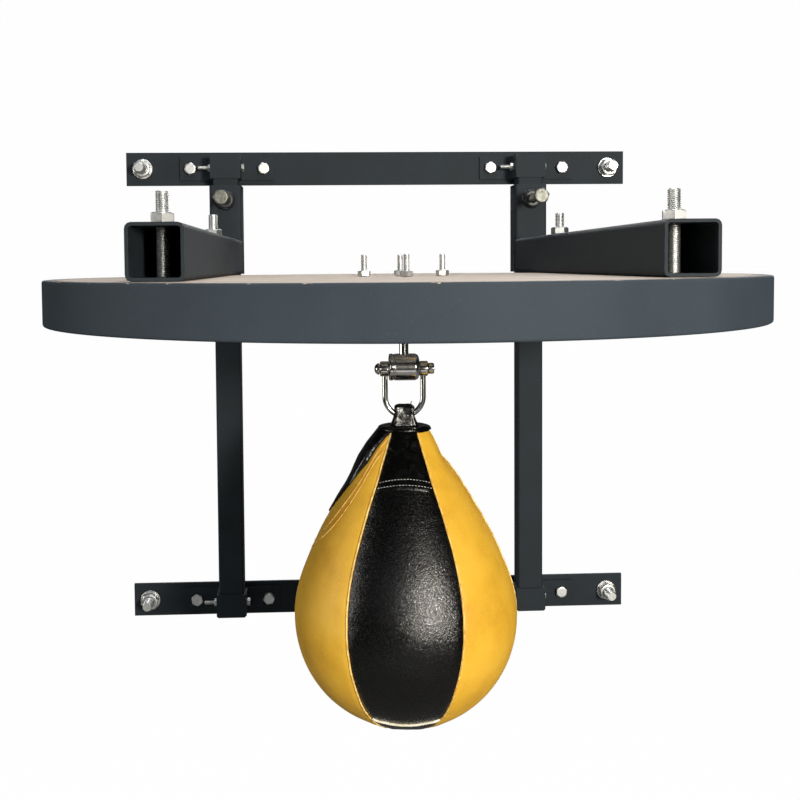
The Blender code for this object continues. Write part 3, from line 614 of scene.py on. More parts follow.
def beadTree():
    # beads along a path, aligned with it and with the surface under it: stitches and weld ripples
    tree, given, end = newTree("beadRow", [
        ("Spacing", "Float", 0.003), ("Size", "Vector", (0.001, 0.0004, 0.0004)), ("Jitter", "Float", 0.05),
        ("Seed", "Int", 3), ("Finish", "Material", None),
    ])
    path = put(tree, "GeometryNodeMeshToCurve", {"Mesh": given["Geometry"]})
    even = put(tree, "GeometryNodeResampleCurve", {"Curve": path, "Length": given["Spacing"]},
               mode="LENGTH")
    bead = put(tree, "GeometryNodeMeshUVSphere", {"Segments": 8, "Rings": 5, "Radius": 1.0})
    along = put(tree, "FunctionNodeAlignRotationToVector", {
        "Vector": put(tree, "GeometryNodeInputTangent"),
    }, axis="X")
    up = put(tree, "GeometryNodeInputNamedAttribute", {"Name": "up"}, data_type="FLOAT_VECTOR")
    facing = put(tree, "FunctionNodeAlignRotationToVector", {"Rotation": along, "Vector": up},
                 axis="Z", pivot_axis="X")
    low = put(tree, "SUBTRACT", {0: 1.0, 1: given["Jitter"]})
    high = put(tree, "ADD", {0: 1.0, 1: given["Jitter"]})
    vary = put(tree, "FunctionNodeRandomValue", {2: low, 3: high, "Seed": given["Seed"]},
               data_type="FLOAT")
    size = put(tree, "vector", {0: given["Size"], "Scale": vary.outputs[1]}, operation="SCALE")
    spread = put(tree, "GeometryNodeInstanceOnPoints", {
        "Points": even, "Instance": bead, "Rotation": facing, "Scale": size,
    })
    real = put(tree, "GeometryNodeRealizeInstances", {"Geometry": spread})
    finished = put(tree, "GeometryNodeSetMaterial", {"Geometry": real, "Material": given["Finish"]})
    tree.links.new(finished.outputs[0], end.inputs[0])
    return tree


fastenerSet = fastenerTree()
beadRow = beadTree()


def fasteners(name, spots, rolls, values):
    # one vertex for each fastener, with its roll in radians
    piece = newPiece(name, spots, [])
    roll = piece.data.attributes.new("roll", "FLOAT", "POINT")
    roll.data.foreach_set("value", rolls)
    return useTree(piece, fastenerSet, values)


def beads(name, paths, spacing, size, finish, jitter=0.05, seed=3):
    # paths are lists of (point, up) pairs
    verts, edges, ups = [], [], []
    for path in paths:
        first = len(verts)
        verts += [tuple(point) for point, _ in path]
        ups += [value for _, up in path for value in up]
        edges += [(i, i + 1) for i in range(first, len(verts) - 1)]
    mesh = bpy.data.meshes.new(name)
    mesh.from_pydata(verts, edges, [])
    piece = bpy.data.objects.new(name, mesh)
    bpy.context.scene.collection.objects.link(piece)
    attribute = mesh.attributes.new("up", "FLOAT_VECTOR", "POINT")
    attribute.data.foreach_set("vector", ups)
    return useTree(piece, beadRow, {
        "Spacing": spacing, "Size": size, "Finish": finish, "Jitter": jitter, "Seed": seed,
    })


def middle(node):
    low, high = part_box(node)
    return (low + high) / 2


print("tools ready")


edges = {"rail": 0.5 * mm, "post": 0.35 * mm, "clamp": 0.6 * mm, "sleeve": 0.45 * mm, "arm": 0.45 * mm}
sides = ("left", "right")
levels = ("top", "bottom")


def brokenEdges(node, width):
    # a welded copy of a CAD solid with flat faces whole again, then a small round on its edges
    shape = bmesh.new()
    shape.from_mesh(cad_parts[node].data)
    bmesh.ops.remove_doubles(shape, verts=shape.verts, dist=0.01 * mm)
    bmesh.ops.dissolve_limit(shape, angle_limit=radians(0.4), verts=shape.verts, edges=shape.edges)
    mesh = bpy.data.meshes.new(node + "Steel")
    shape.to_mesh(mesh)
    shape.free()
    piece = bpy.data.objects.new(node + "Steel", mesh)
    bpy.context.scene.collection.objects.link(piece)
    mesh.materials.append(coat)
    bevel = piece.modifiers.new("round", "BEVEL")
    bevel.width = width
    bevel.segments = 2
    bevel.limit_method = "ANGLE"
    bevel.angle_limit = radians(50)
    smooth(settle(piece), 40, level=True)
    # the narrow faces along the edges are where the coat wears and where an edge highlight is painted
    wearAndHighlight = []
    for face in piece.data.polygons:
        spots = [piece.data.vertices[v].co for v in face.vertices]
        longest = max((a - b).length for a, b in zip(spots, spots[1:] + spots[:1]))
        wearAndHighlight.append(1.0 if face.area / longest < width else 0.0)
    piece.data.attributes.new("edgeWearAndHighlight", "FLOAT", "FACE").data.foreach_set("value", wearAndHighlight)
    return piece


steelNodes = [(level + "_rail", "rail", "wall_frame") for level in levels]
steelNodes += [(side + "_post", "post", "wall_frame") for side in sides]
steelNodes += [(f"{level}_{side}_clamp", "clamp", "wall_frame") for level in levels for side in sides]
steelNodes += [(side + "_sleeve", "sleeve", "carriage") for side in sides]
steelNodes += [(side + "_arm", "arm", "carriage") for side in sides]
for node, kind, body in steelNodes:
    hand(brokenEdges(node, edges[kind]), body, "powder_coat", node)
print("steel frame made")


bolts = {
    "clamp": {"flats": 13 * mm, "height": 5.3 * mm, "rod": 8 * mm, "pitch": 1.25 * mm},
    "anchor": {"flats": 19 * mm, "height": 10 * mm, "rod": 12 * mm, "pitch": 1.75 * mm},
    "cross": {"flats": 8 * mm, "height": 4 * mm, "rod": 5 * mm, "pitch": 0.8 * mm},
    "arm": {"flats": 16 * mm, "height": 8 * mm, "rod": 10 * mm, "pitch": 1.5 * mm},
    "lock": {"flats": 16 * mm, "height": 6.4 * mm, "rod": 10 * mm, "pitch": 1.5 * mm},
    "swivel": {"flats": 10 * mm, "height": 5 * mm, "rod": 5.5 * mm, "pitch": 0.9 * mm},
}
towardsFront = {"Turn": (pi / 2, 0, 0), "Axis": (0, 1, 0)}


def boltValues(kind, finish, **more):
    size = bolts[kind]
    values = {"Across Flats": size["flats"], "Head Height": size["height"], "Rod Diameter": size["rod"],
              "Pitch": size["pitch"], "Finish": finish}
    values.update({key.replace("_", " "): value for key, value in more.items()})
    return values


clampBoltNodes = [f"clamp_bolt_{level}_{side}_{end}"
                  for level in levels for side in sides for end in "ab"]
spots, rolls = [], []
for i, node in enumerate(clampBoltNodes):
    spots.append((middle(node).x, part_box(node)[0].y + bolts["clamp"]["height"], middle(node).z))
    rolls.append((0.2, 0.75, 0.05, 0.5, 0.9, 0.35, 0.6, 0.1)[i])
clampBolts = fasteners("clampBolts", spots, rolls, boltValues(
    "clamp", brightZinc, Rod_Start=-6 * mm, Rod_End=1 * mm, **towardsFront))
hand(clampBolts, "wall_frame", "zinc", *clampBoltNodes)

anchorNodes = [f"wall_anchor_{level}_{side}" for level in levels for side in sides]
spots = []
for node in anchorNodes:
    spots.append((middle(node).x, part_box(node)[1].y - 6.0 * mm, middle(node).z))
anchorTip = 33.5 * mm - 6.3 * mm
anchors = fasteners("wallAnchors", spots, [0.15, 0.6, 0.3, 0.95], boltValues(
    "anchor", brightZinc, Rod_Start=-5.9 * mm, Rod_End=anchorTip, Washer_Radius=12 * mm,
    Washer_Thickness=1.9 * mm, Countersink=6.9 * mm, **towardsFront))
hand(anchors, "wall_frame", "zinc", *anchorNodes)

crossScrewNodes = [f"cross_screw_{level}_{side}" for level in levels for side in sides]
crossNutNodes = [f"cross_nut_{level}_{side}" for level in levels for side in sides]
spots = [(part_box(node)[1].x - 3.5 * mm, middle(node).y, middle(node).z) for node in crossScrewNodes]
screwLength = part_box(crossScrewNodes[0])[1].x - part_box(crossScrewNodes[0])[0].x - 3.5 * mm
screws = fasteners("crossScrews", spots, [0.3, 0.1, 0.5, 0.8], boltValues(
    "cross", brightZinc, Head_Height=3.5 * mm, Across_Flats=8.5 * mm, Rod_Start=-screwLength,
    Rod_End=1 * mm, Turn=(0, pi / 2, 0), Axis=(1, 0, 0)))
hand(screws, "wall_frame", "zinc", *crossScrewNodes)
spots = [(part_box(node)[1].x, middle(node).y, middle(node).z) for node in crossNutNodes]
crossNuts = fasteners("crossNuts", spots, [0.2, 0.9, 0.4, 0.0], boltValues(
    "cross", brightZinc, Rod_Start=0.0, Rod_End=0.0, Countersink=3.4 * mm, Turn=(0, -pi / 2, 0),
    Axis=(1, 0, 0)))
hand(crossNuts, "wall_frame", "zinc", *crossNutNodes)

armNames = [f"{side}_{end}" for side in sides for end in ("front", "rear")]
spots, rolls = [], [0.1, 0.45, 0.8, 0.3]
heads = []
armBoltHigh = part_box("arm_bolt_left_front")[1]
for i, name in enumerate(armNames):
    nut = middle("arm_nut_" + name)
    spots.append((nut.x, nut.y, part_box("arm_nut_" + name)[0].z))
    spot = middle("arm_bolt_" + name)
    outline = fillet([(0, -4.5 * mm), (7.0 * mm, -4.3 * mm), (10.2 * mm, -2.2 * mm), (11.5 * mm, -0.9 * mm),
                      (11.4 * mm, 0.0), (0, 0.0)], 1.0 * mm)
    spot = (spot.x, spot.y, boardLow.z - 0.3 * mm)
    heads.append(newPiece("armBoltHead", *lathe(outline, spot, segments=48), brightZinc))
nutBase = spots[0][2]
armBolts = fasteners("armBolts", spots, rolls, boltValues(
    "arm", brightZinc, Rod_Start=boardLow.z - nutBase - 1.0 * mm, Rod_End=armBoltHigh.z - nutBase,
    Countersink=5.8 * mm, Rod_Sides=18, Axis=(0, 0, 1)))
for piece in heads:
    fixNormals(piece)
armBolts = join(armBolts, *heads)
smooth(armBolts, 30)
hand(armBolts, "carriage", "zinc", *["arm_bolt_" + n for n in armNames],
     *["arm_nut_" + n for n in armNames])

turnNames = ("right", "rear", "left", "front")
plateLow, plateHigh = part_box("swivel_plate")
spots = [(middle("swivel_bolt_" + n).x, middle("swivel_bolt_" + n).y,
          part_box("swivel_bolt_" + n)[0].z + 4 * mm) for n in turnNames]
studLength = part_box("swivel_bolt_front")[1].z - spots[0][2]
swivelBolts = fasteners("swivelBolts", spots, [0.1, 0.5, 0.9, 0.3], boltValues(
    "swivel", brightZinc, Head_Height=4 * mm, Rod_Start=-studLength, Rod_End=1 * mm, Rod_Sides=14,
    Turn=(pi, 0, 0), Axis=(0, 0, 1)))
hand(swivelBolts, "carriage", "zinc", *["swivel_bolt_" + n for n in turnNames])
spots = [(x, y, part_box("swivel_nut_front")[0].z) for x, y, _ in spots]
swivelNuts = fasteners("swivelNuts", spots, [0.4, 0.2, 0.7, 0.05], boltValues(
    "swivel", brightZinc, Rod_Start=0.0, Rod_End=0.0, Countersink=3.5 * mm, Axis=(0, 0, 1)))
hand(swivelNuts, "carriage", "zinc", *["swivel_nut_" + n for n in turnNames])

for side in sides:
    low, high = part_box(side + "_lock_bolt")
    seat = low.y + bolts["lock"]["height"]
    spot = middle(side + "_lock_bolt")
    lock = fasteners(side + "LockBolt", [(spot.x, seat, spot.z)], [pi / 6 if side == "left" else 0.32],
                     boltValues("lock", dullZinc, Rod_Start=seat - high.y, Rod_End=1 * mm, **towardsFront))
    hand(lock, side + "_lock", "zinc", side + "_lock_bolt")
spots = []
for side in sides:
    nut = middle(side + "_lock_nut")
    spots.append((nut.x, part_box(side + "_lock_nut")[1].y, nut.z))
lockNuts = fasteners("lockNuts", spots, [0.35, 0.1], boltValues(
    "lock", weldBlack, Head_Height=10 * mm, Across_Flats=19 * mm, Rod_Start=0.0, Rod_End=0.0,
    Countersink=6.0 * mm, **towardsFront))
hand(lockNuts, "carriage", "black_steel", *[side + "_lock_nut" for side in sides])
print("fasteners made")


weld = {"spacing": 1.6 * mm, "size": (1.5 * mm, 2.2 * mm, 1.5 * mm)}
nutPaths, armPaths = [], []
for side in sides:
    low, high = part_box(side + "_lock_nut")
    spot = middle(side + "_lock_nut")
    ring = []
    for k in range(41):
        angle = 2 * pi * k / 40
        reach = (10.2 + 0.5 * sin(3 * angle + spot.x)) * mm
        offset = Vector((cos(angle) * reach, 0, sin(angle) * reach))
        place = Vector((spot.x, high.y - 0.8 * mm, spot.z)) + offset
        ring.append((place, offset.normalized() - Vector((0, 1, 0))))
    nutPaths.append(ring)
    armLow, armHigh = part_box(side + "_arm")
    line = []
    for k in range(21):
        x = armLow.x + 3 * mm + (armHigh.x - armLow.x - 6 * mm) * k / 20
        line.append((Vector((x, armHigh.y - 0.4 * mm, armHigh.z + 0.2 * mm)), Vector((0, -0.7, 0.7))))
    armPaths.append(line)
    for x, way in ((armLow.x, -1), (armHigh.x, 1)):
        line = []
        for k in range(21):
            z = armLow.z + 3 * mm + (armHigh.z - armLow.z - 6 * mm) * k / 20
            place = Vector((x - way * 0.6 * mm, armHigh.y - 0.2 * mm, z))
            line.append((place, Vector((way * 0.7, -0.7, 0))))
        armPaths.append(line)
for name, paths, finish, jitter, seed, label in (
        ("lockNutWelds", nutPaths, weldBlack, 0.22, 5, "black_steel"),
        ("armWelds", armPaths, coat, 0.18, 8, "powder_coat")):
    ripples = beads(name, paths, weld["spacing"], weld["size"], finish, jitter, seed)
    hand(ripples, "carriage", label)
print("welds made")


board = {"segments": 288, "round": 2.2 * mm, "holeRadius": 5.6 * mm, "studHole": 3.1 * mm}


def cutAway(piece, tool):
    cut = piece.modifiers.new("cut", "BOOLEAN")
    cut.operation = "DIFFERENCE"
    cut.solver = "EXACT"
    cut.object = fixNormals(tool)
    settle(piece)
    bpy.data.objects.remove(tool)


def makeBoard():
    half = (boardHigh.z - boardLow.z) / 2
    outline = fillet([(0, half), (boardRadius, half), (boardRadius, -half), (0, -half)], board["round"], 4)
    disc = lathe(outline, boardMiddle, segments=board["segments"])
    piece = fixNormals(newPiece("boardRound", *disc, rimPaint, bareWood))
    drill = [(middle("arm_bolt_" + n), board["holeRadius"]) for n in armNames]
    drill += [(middle("swivel_bolt_" + n), board["studHole"]) for n in turnNames]
    tools = []
    for spot, radius in drill:
        outline = [(0, -0.1), (radius, -0.1), (radius, 0.1), (0, 0.1)]
        tools.append(newPiece("drill", *lathe(outline, (spot.x, spot.y, boardMiddle.z), segments=32)))
    cutAway(piece, join(*tools))
    for face in piece.data.polygons:
        face.material_index = 1 if face.normal.z > 0.95 and face.center.z > boardHigh.z - 0.2 * mm else 0
    return smooth(piece, 30, level=True)


hand(makeBoard(), "carriage", "board_paint", "board")
print("board made")


swivel = {"wire": 2.4 * mm, "bend": 16.6 * mm, "eyeAway": 17.1 * mm, "eyeHalf": 3.7 * mm}
barrelLow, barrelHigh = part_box("swivel_barrel")
pinLow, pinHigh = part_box("swivel_pin")
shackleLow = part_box("shackle")[0]
centreX, centreY = boardMiddle.x, boardMiddle.y


def makeSwivelPlate():
    top, foot = plateHigh.z, plateLow.z
    outline = [(0, top), (44.4 * mm, top), (45 * mm, top - 0.8 * mm), (45 * mm, top - 3.4 * mm),
               (44.2 * mm, top - 4.0 * mm), (14 * mm, top - 4.0 * mm), (10.6 * mm, top - 5.0 * mm),
               (9.4 * mm, top - 9.6 * mm), (8.6 * mm, top - 10.6 * mm), (4.4 * mm, top - 11.4 * mm),
               (4.0 * mm, top - 12.2 * mm), (4.0 * mm, foot + 3.0 * mm), (6.0 * mm, foot + 3.0 * mm),
               (6.0 * mm, foot), (0, foot)]
    turned = lathe(fillet(outline, 0.5 * mm, 3), (centreX, centreY, 0), segments=96)
    piece = newPiece("swivelPlate", *turned, chrome)
    return smooth(fixNormals(piece), 30, level=True)


def makeBarrel():
    radius = (barrelHigh.z - barrelLow.z) / 2
    left, right = barrelLow.x - centreX, barrelHigh.x - centreX
    spot = Vector((centreX, centreY, (barrelHigh.z + barrelLow.z) / 2))
    outline = [(0, left + 1.0 * mm), (7.2 * mm, left + 1.0 * mm), (7.8 * mm, left), (radius - 0.6 * mm, left),
               (radius, left + 0.8 * mm), (radius, left + 3.0 * mm), (radius - 0.5 * mm, left + 3.5 * mm),
               (radius - 0.5 * mm, left + 4.6 * mm), (radius, left + 5.1 * mm), (radius, right - 3.4 * mm),
               (radius - 1.2 * mm, right - 1.0 * mm), (radius - 3.4 * mm, right), (0, right)]
    piece = newPiece("swivelBarrel", *lathe(fillet(outline, 0.7 * mm, 4), spot, "X", 80), chrome)
    fixNormals(piece)
    pinAt = Vector((centreX, centreY, (pinLow.z + pinHigh.z) / 2))
    pinHole = [(0, -0.03), (3.8 * mm, -0.03), (3.8 * mm, 0.03), (0, 0.03)]
    cutAway(piece, newPiece("tool", *lathe(pinHole, pinAt, "X", 40)))
    base = spot.z
    bore = [(0, base + 3.3 * mm), (6.6 * mm, base + 3.3 * mm), (6.6 * mm, base + 7.3 * mm),
            (4.4 * mm, base + 7.3 * mm), (4.4 * mm, base + 0.02), (0, base + 0.02)]
    cutAway(piece, newPiece("tool", *lathe(bore, (centreX, centreY, 0), "Z", 48)))
    return smooth(piece, 35, level=True)


def makePin():
    left, right = pinLow.x - centreX, pinHigh.x - centreX
    spot = (centreX, centreY, (pinLow.z + pinHigh.z) / 2)
    outline = [(0, left), (2.2 * mm, left + 0.3 * mm), (3.7 * mm, left + 1.2 * mm), (4.9 * mm, left + 2.8 * mm),
               (5.1 * mm, left + 4.3 * mm), (3.5 * mm, left + 4.5 * mm), (3.5 * mm, right - 4.9 * mm),
               (4.8 * mm, right - 4.9 * mm), (4.8 * mm, right - 0.8 * mm), (4.2 * mm, right), (0, right)]
    piece = newPiece("swivelPin", *lathe(fillet(outline, 0.4 * mm, 3), spot, "X", 48), chrome)
    fixNormals(piece)
    low = Vector((pinHigh.x - 1.5 * mm, centreY - 6 * mm, spot[2] - 0.6 * mm))
    high = Vector((pinHigh.x + 2 * mm, centreY + 6 * mm, spot[2] + 0.6 * mm))
    tilt = Matrix.Rotation(radians(24), 3, "X")
    middleSlot = (low + high) / 2
    corners = [Vector((x, y, z)) for x in (low.x, high.x) for y in (low.y, high.y) for z in (low.z, high.z)]
    corners = [tilt @ (c - middleSlot) + middleSlot for c in corners]
    slotFaces = [(0, 1, 3, 2), (4, 6, 7, 5), (0, 4, 5, 1), (2, 3, 7, 6), (0, 2, 6, 4), (1, 5, 7, 3)]
    cutAway(piece, newPiece("tool", corners, slotFaces))
    return smooth(piece, 35)


bendZ = shackleLow.z + swivel["wire"] + swivel["bend"]


def bendPath(steps):
    # the middle of the wire round the shackle's bend, from left to right
    path = []
    for k in range(steps + 1):
        angle = pi + pi * k / steps
        path.append(Vector((centreX + swivel["bend"] * cos(angle), centreY,
                            bendZ + swivel["bend"] * sin(angle))))
    return path


def makeShackle():
    pinZ = (pinLow.z + pinHigh.z) / 2
    heights = np.linspace(pinZ - 4.5 * mm, bendZ + 2 * mm, 6)
    left, right = centreX - swivel["bend"], centreX + swivel["bend"]
    path = [Vector((left, centreY, z)) for z in heights] + bendPath(32)
    path += [Vector((right, centreY, z)) for z in np.linspace(bendZ + 2 * mm, pinZ - 4.5 * mm, 6)]
    piece = newPiece("shackleWire", *sweep(path, swivel["wire"], 20), chrome)
    fixNormals(piece)
    eyes = []
    for way in (-1, 1):
        half, hole, rim = swivel["eyeHalf"], 3.8 * mm, 6.6 * mm
        outline = fillet([(hole, -half), (rim, -half), (rim, half), (hole, half), (hole, -half)], 1.3 * mm, 5)
        spot = (centreX + way * swivel["eyeAway"], centreY, pinZ)
        eyes.append(fixNormals(newPiece("eye", *lathe(outline, spot, "X", 56), chrome)))
    return smooth(join(piece, *eyes), 35)


hand(makeSwivelPlate(), "carriage", "chrome", "swivel_plate")
hand(makeBarrel(), "swivel", "chrome", "swivel_barrel")
hand(makePin(), "swivel", "chrome", "swivel_pin")
hand(makeShackle(), "shackle", "chrome", "shackle")
print("swivel made")


bag = {
    "neckRadius": 21.0 * mm, "widestDrop": 166.5 * mm, "valveHole": 4.0 * mm, "skin": 1.7 * mm,
    "turn": -4.7,            # degrees, the front panel's middle from straight ahead
    "rows": 110, "panelColumns": 18,
    "seamDip": 1.3 * mm, "seamWidth": 2.6 * mm, "pucker": 0.45 * mm,
    "capHeight": -0.4942, "capSag": 4.2 * mm, "capRadius": 26 * mm, "collarFoot": -0.2606,
    "capZone": -0.45,        # below this height the black cap and its piping shape the leather
}
# half the width of a black panel in degrees, at these heights
panelWidth = ((-0.521, 24.0), (-0.495, 25.0), (-0.463, 26.2), (-0.434, 27.7), (-0.408, 29.0),
              (-0.384, 30.3), (-0.352, 30.9), (-0.319, 30.4), (-0.299, 29.4), (-0.262, 30.5))
coverLow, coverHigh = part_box("bag_cover")
coverRadius = (coverHigh.x - coverLow.x) / 2


def coverOutline(count=420):
    # (radius, height) points, evenly spaced, from the middle of the top to the valve hole
    neck = Vector((bag["neckRadius"], coverHigh.z))
    widest = Vector((coverRadius, coverHigh.z - bag["widestDrop"]))
    bezier = (neck, neck + Vector((30 * mm, -50 * mm)), widest + Vector((0, 52 * mm)), widest)
    raw = [Vector((0, coverHigh.z)), neck - Vector((2.2 * mm, 0)), neck - Vector((1.0 * mm, 0.3 * mm))]
    for i in range(1, 201):
        t = i / 200
        weights = ((1 - t) ** 3, 3 * (1 - t) ** 2 * t, 3 * (1 - t) * t**2, t**3)
        raw.append(sum((w * p for w, p in zip(weights, bezier)), Vector((0, 0))))
    for i in range(1, 201):
        angle = i / 200 * pi / 2
        spot = Vector((coverRadius * cos(angle), widest.y - (widest.y - coverLow.z) * sin(angle)))
        if spot.x > bag["valveHole"]:
            raw.append(spot)
    raw.append(Vector((bag["valveHole"], coverLow.z)))
    lengths = np.concatenate([[0], np.cumsum([(b - a).length for a, b in zip(raw, raw[1:])])])
    even = np.linspace(0, lengths[-1], count)
    return even, np.interp(even, lengths, [p.x for p in raw]), np.interp(even, lengths, [p.y for p in raw])


runs, radii, heights = coverOutline()
coverRun = runs[-1]


def runAt(height):
    # distance along the outline at a height below the neck
    return float(np.interp(-height, -heights[5:], runs[5:]))


def baseSpot(run, turn):
    # the plain turned surface, its outward direction and its radius; turn in degrees, 0 at the front
    radius, height = np.interp(run, runs, radii), np.interp(run, runs, heights)
    ahead, behind = min(run + mm, coverRun), max(run - mm, 0)
    dr = np.interp(ahead, runs, radii) - np.interp(behind, runs, radii)
    dz = np.interp(ahead, runs, heights) - np.interp(behind, runs, heights)
    size = hypot(dr, dz)
    out = Vector((sin(radians(turn)), -cos(radians(turn)), 0))
    normal = out * (-dz / size) + Vector((0, 0, dr / size))
    return Vector((centreX, centreY, height)) + out * radius, normal, radius


def halfWidth(height):
    table = sorted(panelWidth)
    return float(np.interp(height, [h for h, _ in table], [w for _, w in table]))


def seamTurns(height):
    # the six seams in order, from the front panel's right edge round to its left edge
    half = halfWidth(height)
    turns = []
    for k in range(3):
        turns += [bag["turn"] + 120 * k + half, bag["turn"] + 120 * (k + 1) - half]
    return turns


def pipingHeight(turn):
    # the piping sags across the foot of each black panel; elsewhere there is none
    away = (turn - bag["turn"] + 60) % 120 - 60
    half = halfWidth(bag["capHeight"])
    return bag["capHeight"] - bag["capSag"] * (1 - (away / half) ** 2) if abs(away) < half else 1.0


def coverInset(run, turn, height, radius, seamAway, seamNumber):
    # how far the leather lies inside the turned surface
    fade = min(max((radius - bag["capRadius"]) / (6 * mm), 0), 1) if height < bag["capZone"] else 1
    fade *= min(max((coverHigh.z - height) / (4 * mm), 0), 1)
    dip = bag["seamDip"] * exp(-(seamAway / bag["seamWidth"]) ** 2) + 0.45 * mm * exp(-seamAway / (9 * mm))
    wave = noise.noise(Vector((run / (5.5 * mm), seamNumber * 7.7, seamAway / (16 * mm))))
    pucker = bag["pucker"] * exp(-seamAway / (10 * mm)) * wave
    spot = Vector((cos(radians(turn)) * radius, sin(radians(turn)) * radius, height))
    slack = 0.6 * mm * (noise.noise(spot / (48 * mm)) + 0.15) + 0.18 * mm * noise.noise(spot / (13 * mm))
    neck = max(0.0, 1 - (coverHigh.z - height) / (75 * mm))
    fold = 1.3 * mm * neck * (noise.noise(Vector((turn / 21, height / (46 * mm), 4.2))) + 0.25)
    dent = 2.4 * mm * exp(-((turn - 88) / 26) ** 2 - ((height + 0.281) / (9 * mm)) ** 2)
    ring = 0.8 * mm * exp(-((height - pipingHeight(turn)) / (1.8 * mm)) ** 2)
    if height < bag["capZone"]:
        ring += 0.6 * mm * exp(-((radius - bag["capRadius"]) / (1.6 * mm)) ** 2)
    return fade * (dip + pucker + fold + dent) + max(slack, 0) * min(1, radius / (30 * mm)) + ring


def makeCover():
    rowRuns = list(np.linspace(2 * mm, coverRun, bag["rows"]))
    columns = bag["panelColumns"]
    verts, faces, dark = [Vector((centreX, centreY, coverHigh.z))], [], []
    for run in rowRuns:
        height = float(np.interp(run, runs, heights))
        seams = seamTurns(height)
        for panel in range(6):
            first, last = seams[panel], seams[(panel + 1) % 6] + (360 if panel == 5 else 0)
            for k in range(columns):
                share = (1 - cos(pi * k / columns)) / 2 * 0.7 + k / columns * 0.3
                turn = first + (last - first) * share
                spot, normal, radius = baseSpot(run, turn)
                near, far = (turn - first) * radians(1) * radius, (last - turn) * radians(1) * radius
                number = panel if near < far else (panel + 1) % 6
                crown = air["slack"] * min(1, min(near, far) / (12 * mm)) + 0.3 * mm
                inset = coverInset(run, turn, height, radius, min(near, far), number) + crown
                verts.append(spot - normal * inset)
    around = 6 * columns
    for k in range(around):
        faces.append((0, 1 + k, 1 + (k + 1) % around))
        dark.append(True)
    for row in range(len(rowRuns) - 1):
        height = float(np.interp((rowRuns[row] + rowRuns[row + 1]) / 2, runs, heights))
        for k in range(around):
            a, b = 1 + row * around + k, 1 + row * around + (k + 1) % around
            faces.append((a, a + around, b + around, b))
            cap = height < bag["capZone"] and np.interp(rowRuns[row], runs, radii) < bag["capRadius"]
            dark.append((k // columns) % 2 == 1 or cap or height > bag["collarFoot"])
    piece = newPiece("bagCover", verts, faces, goldHide, blackHide)
    piece.data.polygons.foreach_set("material_index", [1 if d else 0 for d in dark])
    return piece


air = {"pressure": 20.0, "mass": 0.05, "frames": 20, "cap": 1.7 * mm, "slack": 1.3 * mm}


def airUp(piece):
    # cloth simulation with the seams pinned: air rounds each panel, and no point moves past the cap
    around, columns = 6 * bag["panelColumns"], bag["panelColumns"]
    rest = np.array([v.co for v in piece.data.vertices])
    held = [0]
    for index in range(1, len(rest)):
        row, column = divmod(index - 1, around)
        if column % columns == 0 or row < 4 or row > bag["rows"] - 6:
            held.append(index)
    piece.vertex_groups.new(name="seams").add(held, 1.0, "REPLACE")
    cloth = piece.modifiers.new("air", "CLOTH")
    cloth.settings.vertex_group_mass = "seams"
    cloth.settings.use_pressure = True
    cloth.settings.uniform_pressure_force = air["pressure"]
    cloth.settings.effector_weights.gravity = 0
    cloth.settings.mass = air["mass"]
    cloth.collision_settings.use_collision = False
    cloth.point_cache.frame_end = air["frames"]
    for step in range(1, air["frames"] + 1):
        bpy.context.scene.frame_set(step)
    shaped = piece.evaluated_get(bpy.context.evaluated_depsgraph_get()).to_mesh()
    move = np.array([v.co for v in shaped.vertices]) - rest
    length = np.linalg.norm(move, axis=1)
    print("air moved the leather by up to", round(float(length.max()) / mm, 2), "mm, mostly",
          round(float(np.median(length)) / mm, 2))
    move *= np.minimum(1, air["cap"] / np.maximum(length, 1e-9))[:, None]
    piece.modifiers.remove(cloth)
    piece.vertex_groups.clear()
    bpy.context.scene.frame_set(1)
    piece.data.vertices.foreach_set("co", (rest + move).ravel())
    finer = piece.modifiers.new("finer", "SUBSURF")
    finer.levels = finer.render_levels = 1
    return settle(piece)


cover = makeCover()
if cover.data.polygons[0].normal.z < 0:
    cover.data.flip_normals()
airUp(cover)
coverTree = BVHTree.FromPolygons([v.co for v in cover.data.vertices],
                                 [tuple(p.vertices) for p in cover.data.polygons])


def onCover(run, turn, lift=0.0):
    # a point lifted off the leather, and the way out from it
    spot, normal, _ = baseSpot(run, turn)
    hit, _, _, _ = coverTree.ray_cast(spot + normal * 12 * mm, -normal)
    return (hit or spot) + normal * lift, normal


wall = cover.modifiers.new("skin", "SOLIDIFY")
wall.thickness = bag["skin"]
wall.offset = -1
smooth(settle(cover), 60)
hand(cover, "bag", "gold_leather", "bag_cover")
print("bag cover made")

# thin edges where the gold panels are turned over at each seam, coloured pale cream as a painted highlight
trim = {
    "leftEdge": (0.62 * mm, 0.40 * mm), "rightEdge": (0.45 * mm, 0.10 * mm),    # radius and lift
    "edgeAway": 0.9 * mm, "capPiping": 1.15 * mm, "collar": 1.3 * mm,
}
tubes = []
below = len(runs) // 2     # the outline is widest above its second half
capRun = float(np.interp(-bag["capRadius"], -radii[below:], runs[below:]))
for number in range(6):
    path = []
    goldWay = 1 if number % 2 == 0 else -1
    thick, lift = trim["rightEdge" if goldWay > 0 else "leftEdge"]
    for run in np.linspace(runAt(bag["collarFoot"]), capRun, 170):
        height = float(np.interp(run, runs, heights))
        radius = float(np.interp(run, runs, radii))
        turn = seamTurns(height)[number] + goldWay * trim["edgeAway"] / radius / radians(1)
        path.append(onCover(run, turn, lift)[0])
    tubes.append(fixNormals(newPiece("seamEdge", *sweep(path, thick, 8), edgeHighlightSkin)))
hand(smooth(join(*tubes), 60), "bag", "gold_leather")
pipes = []
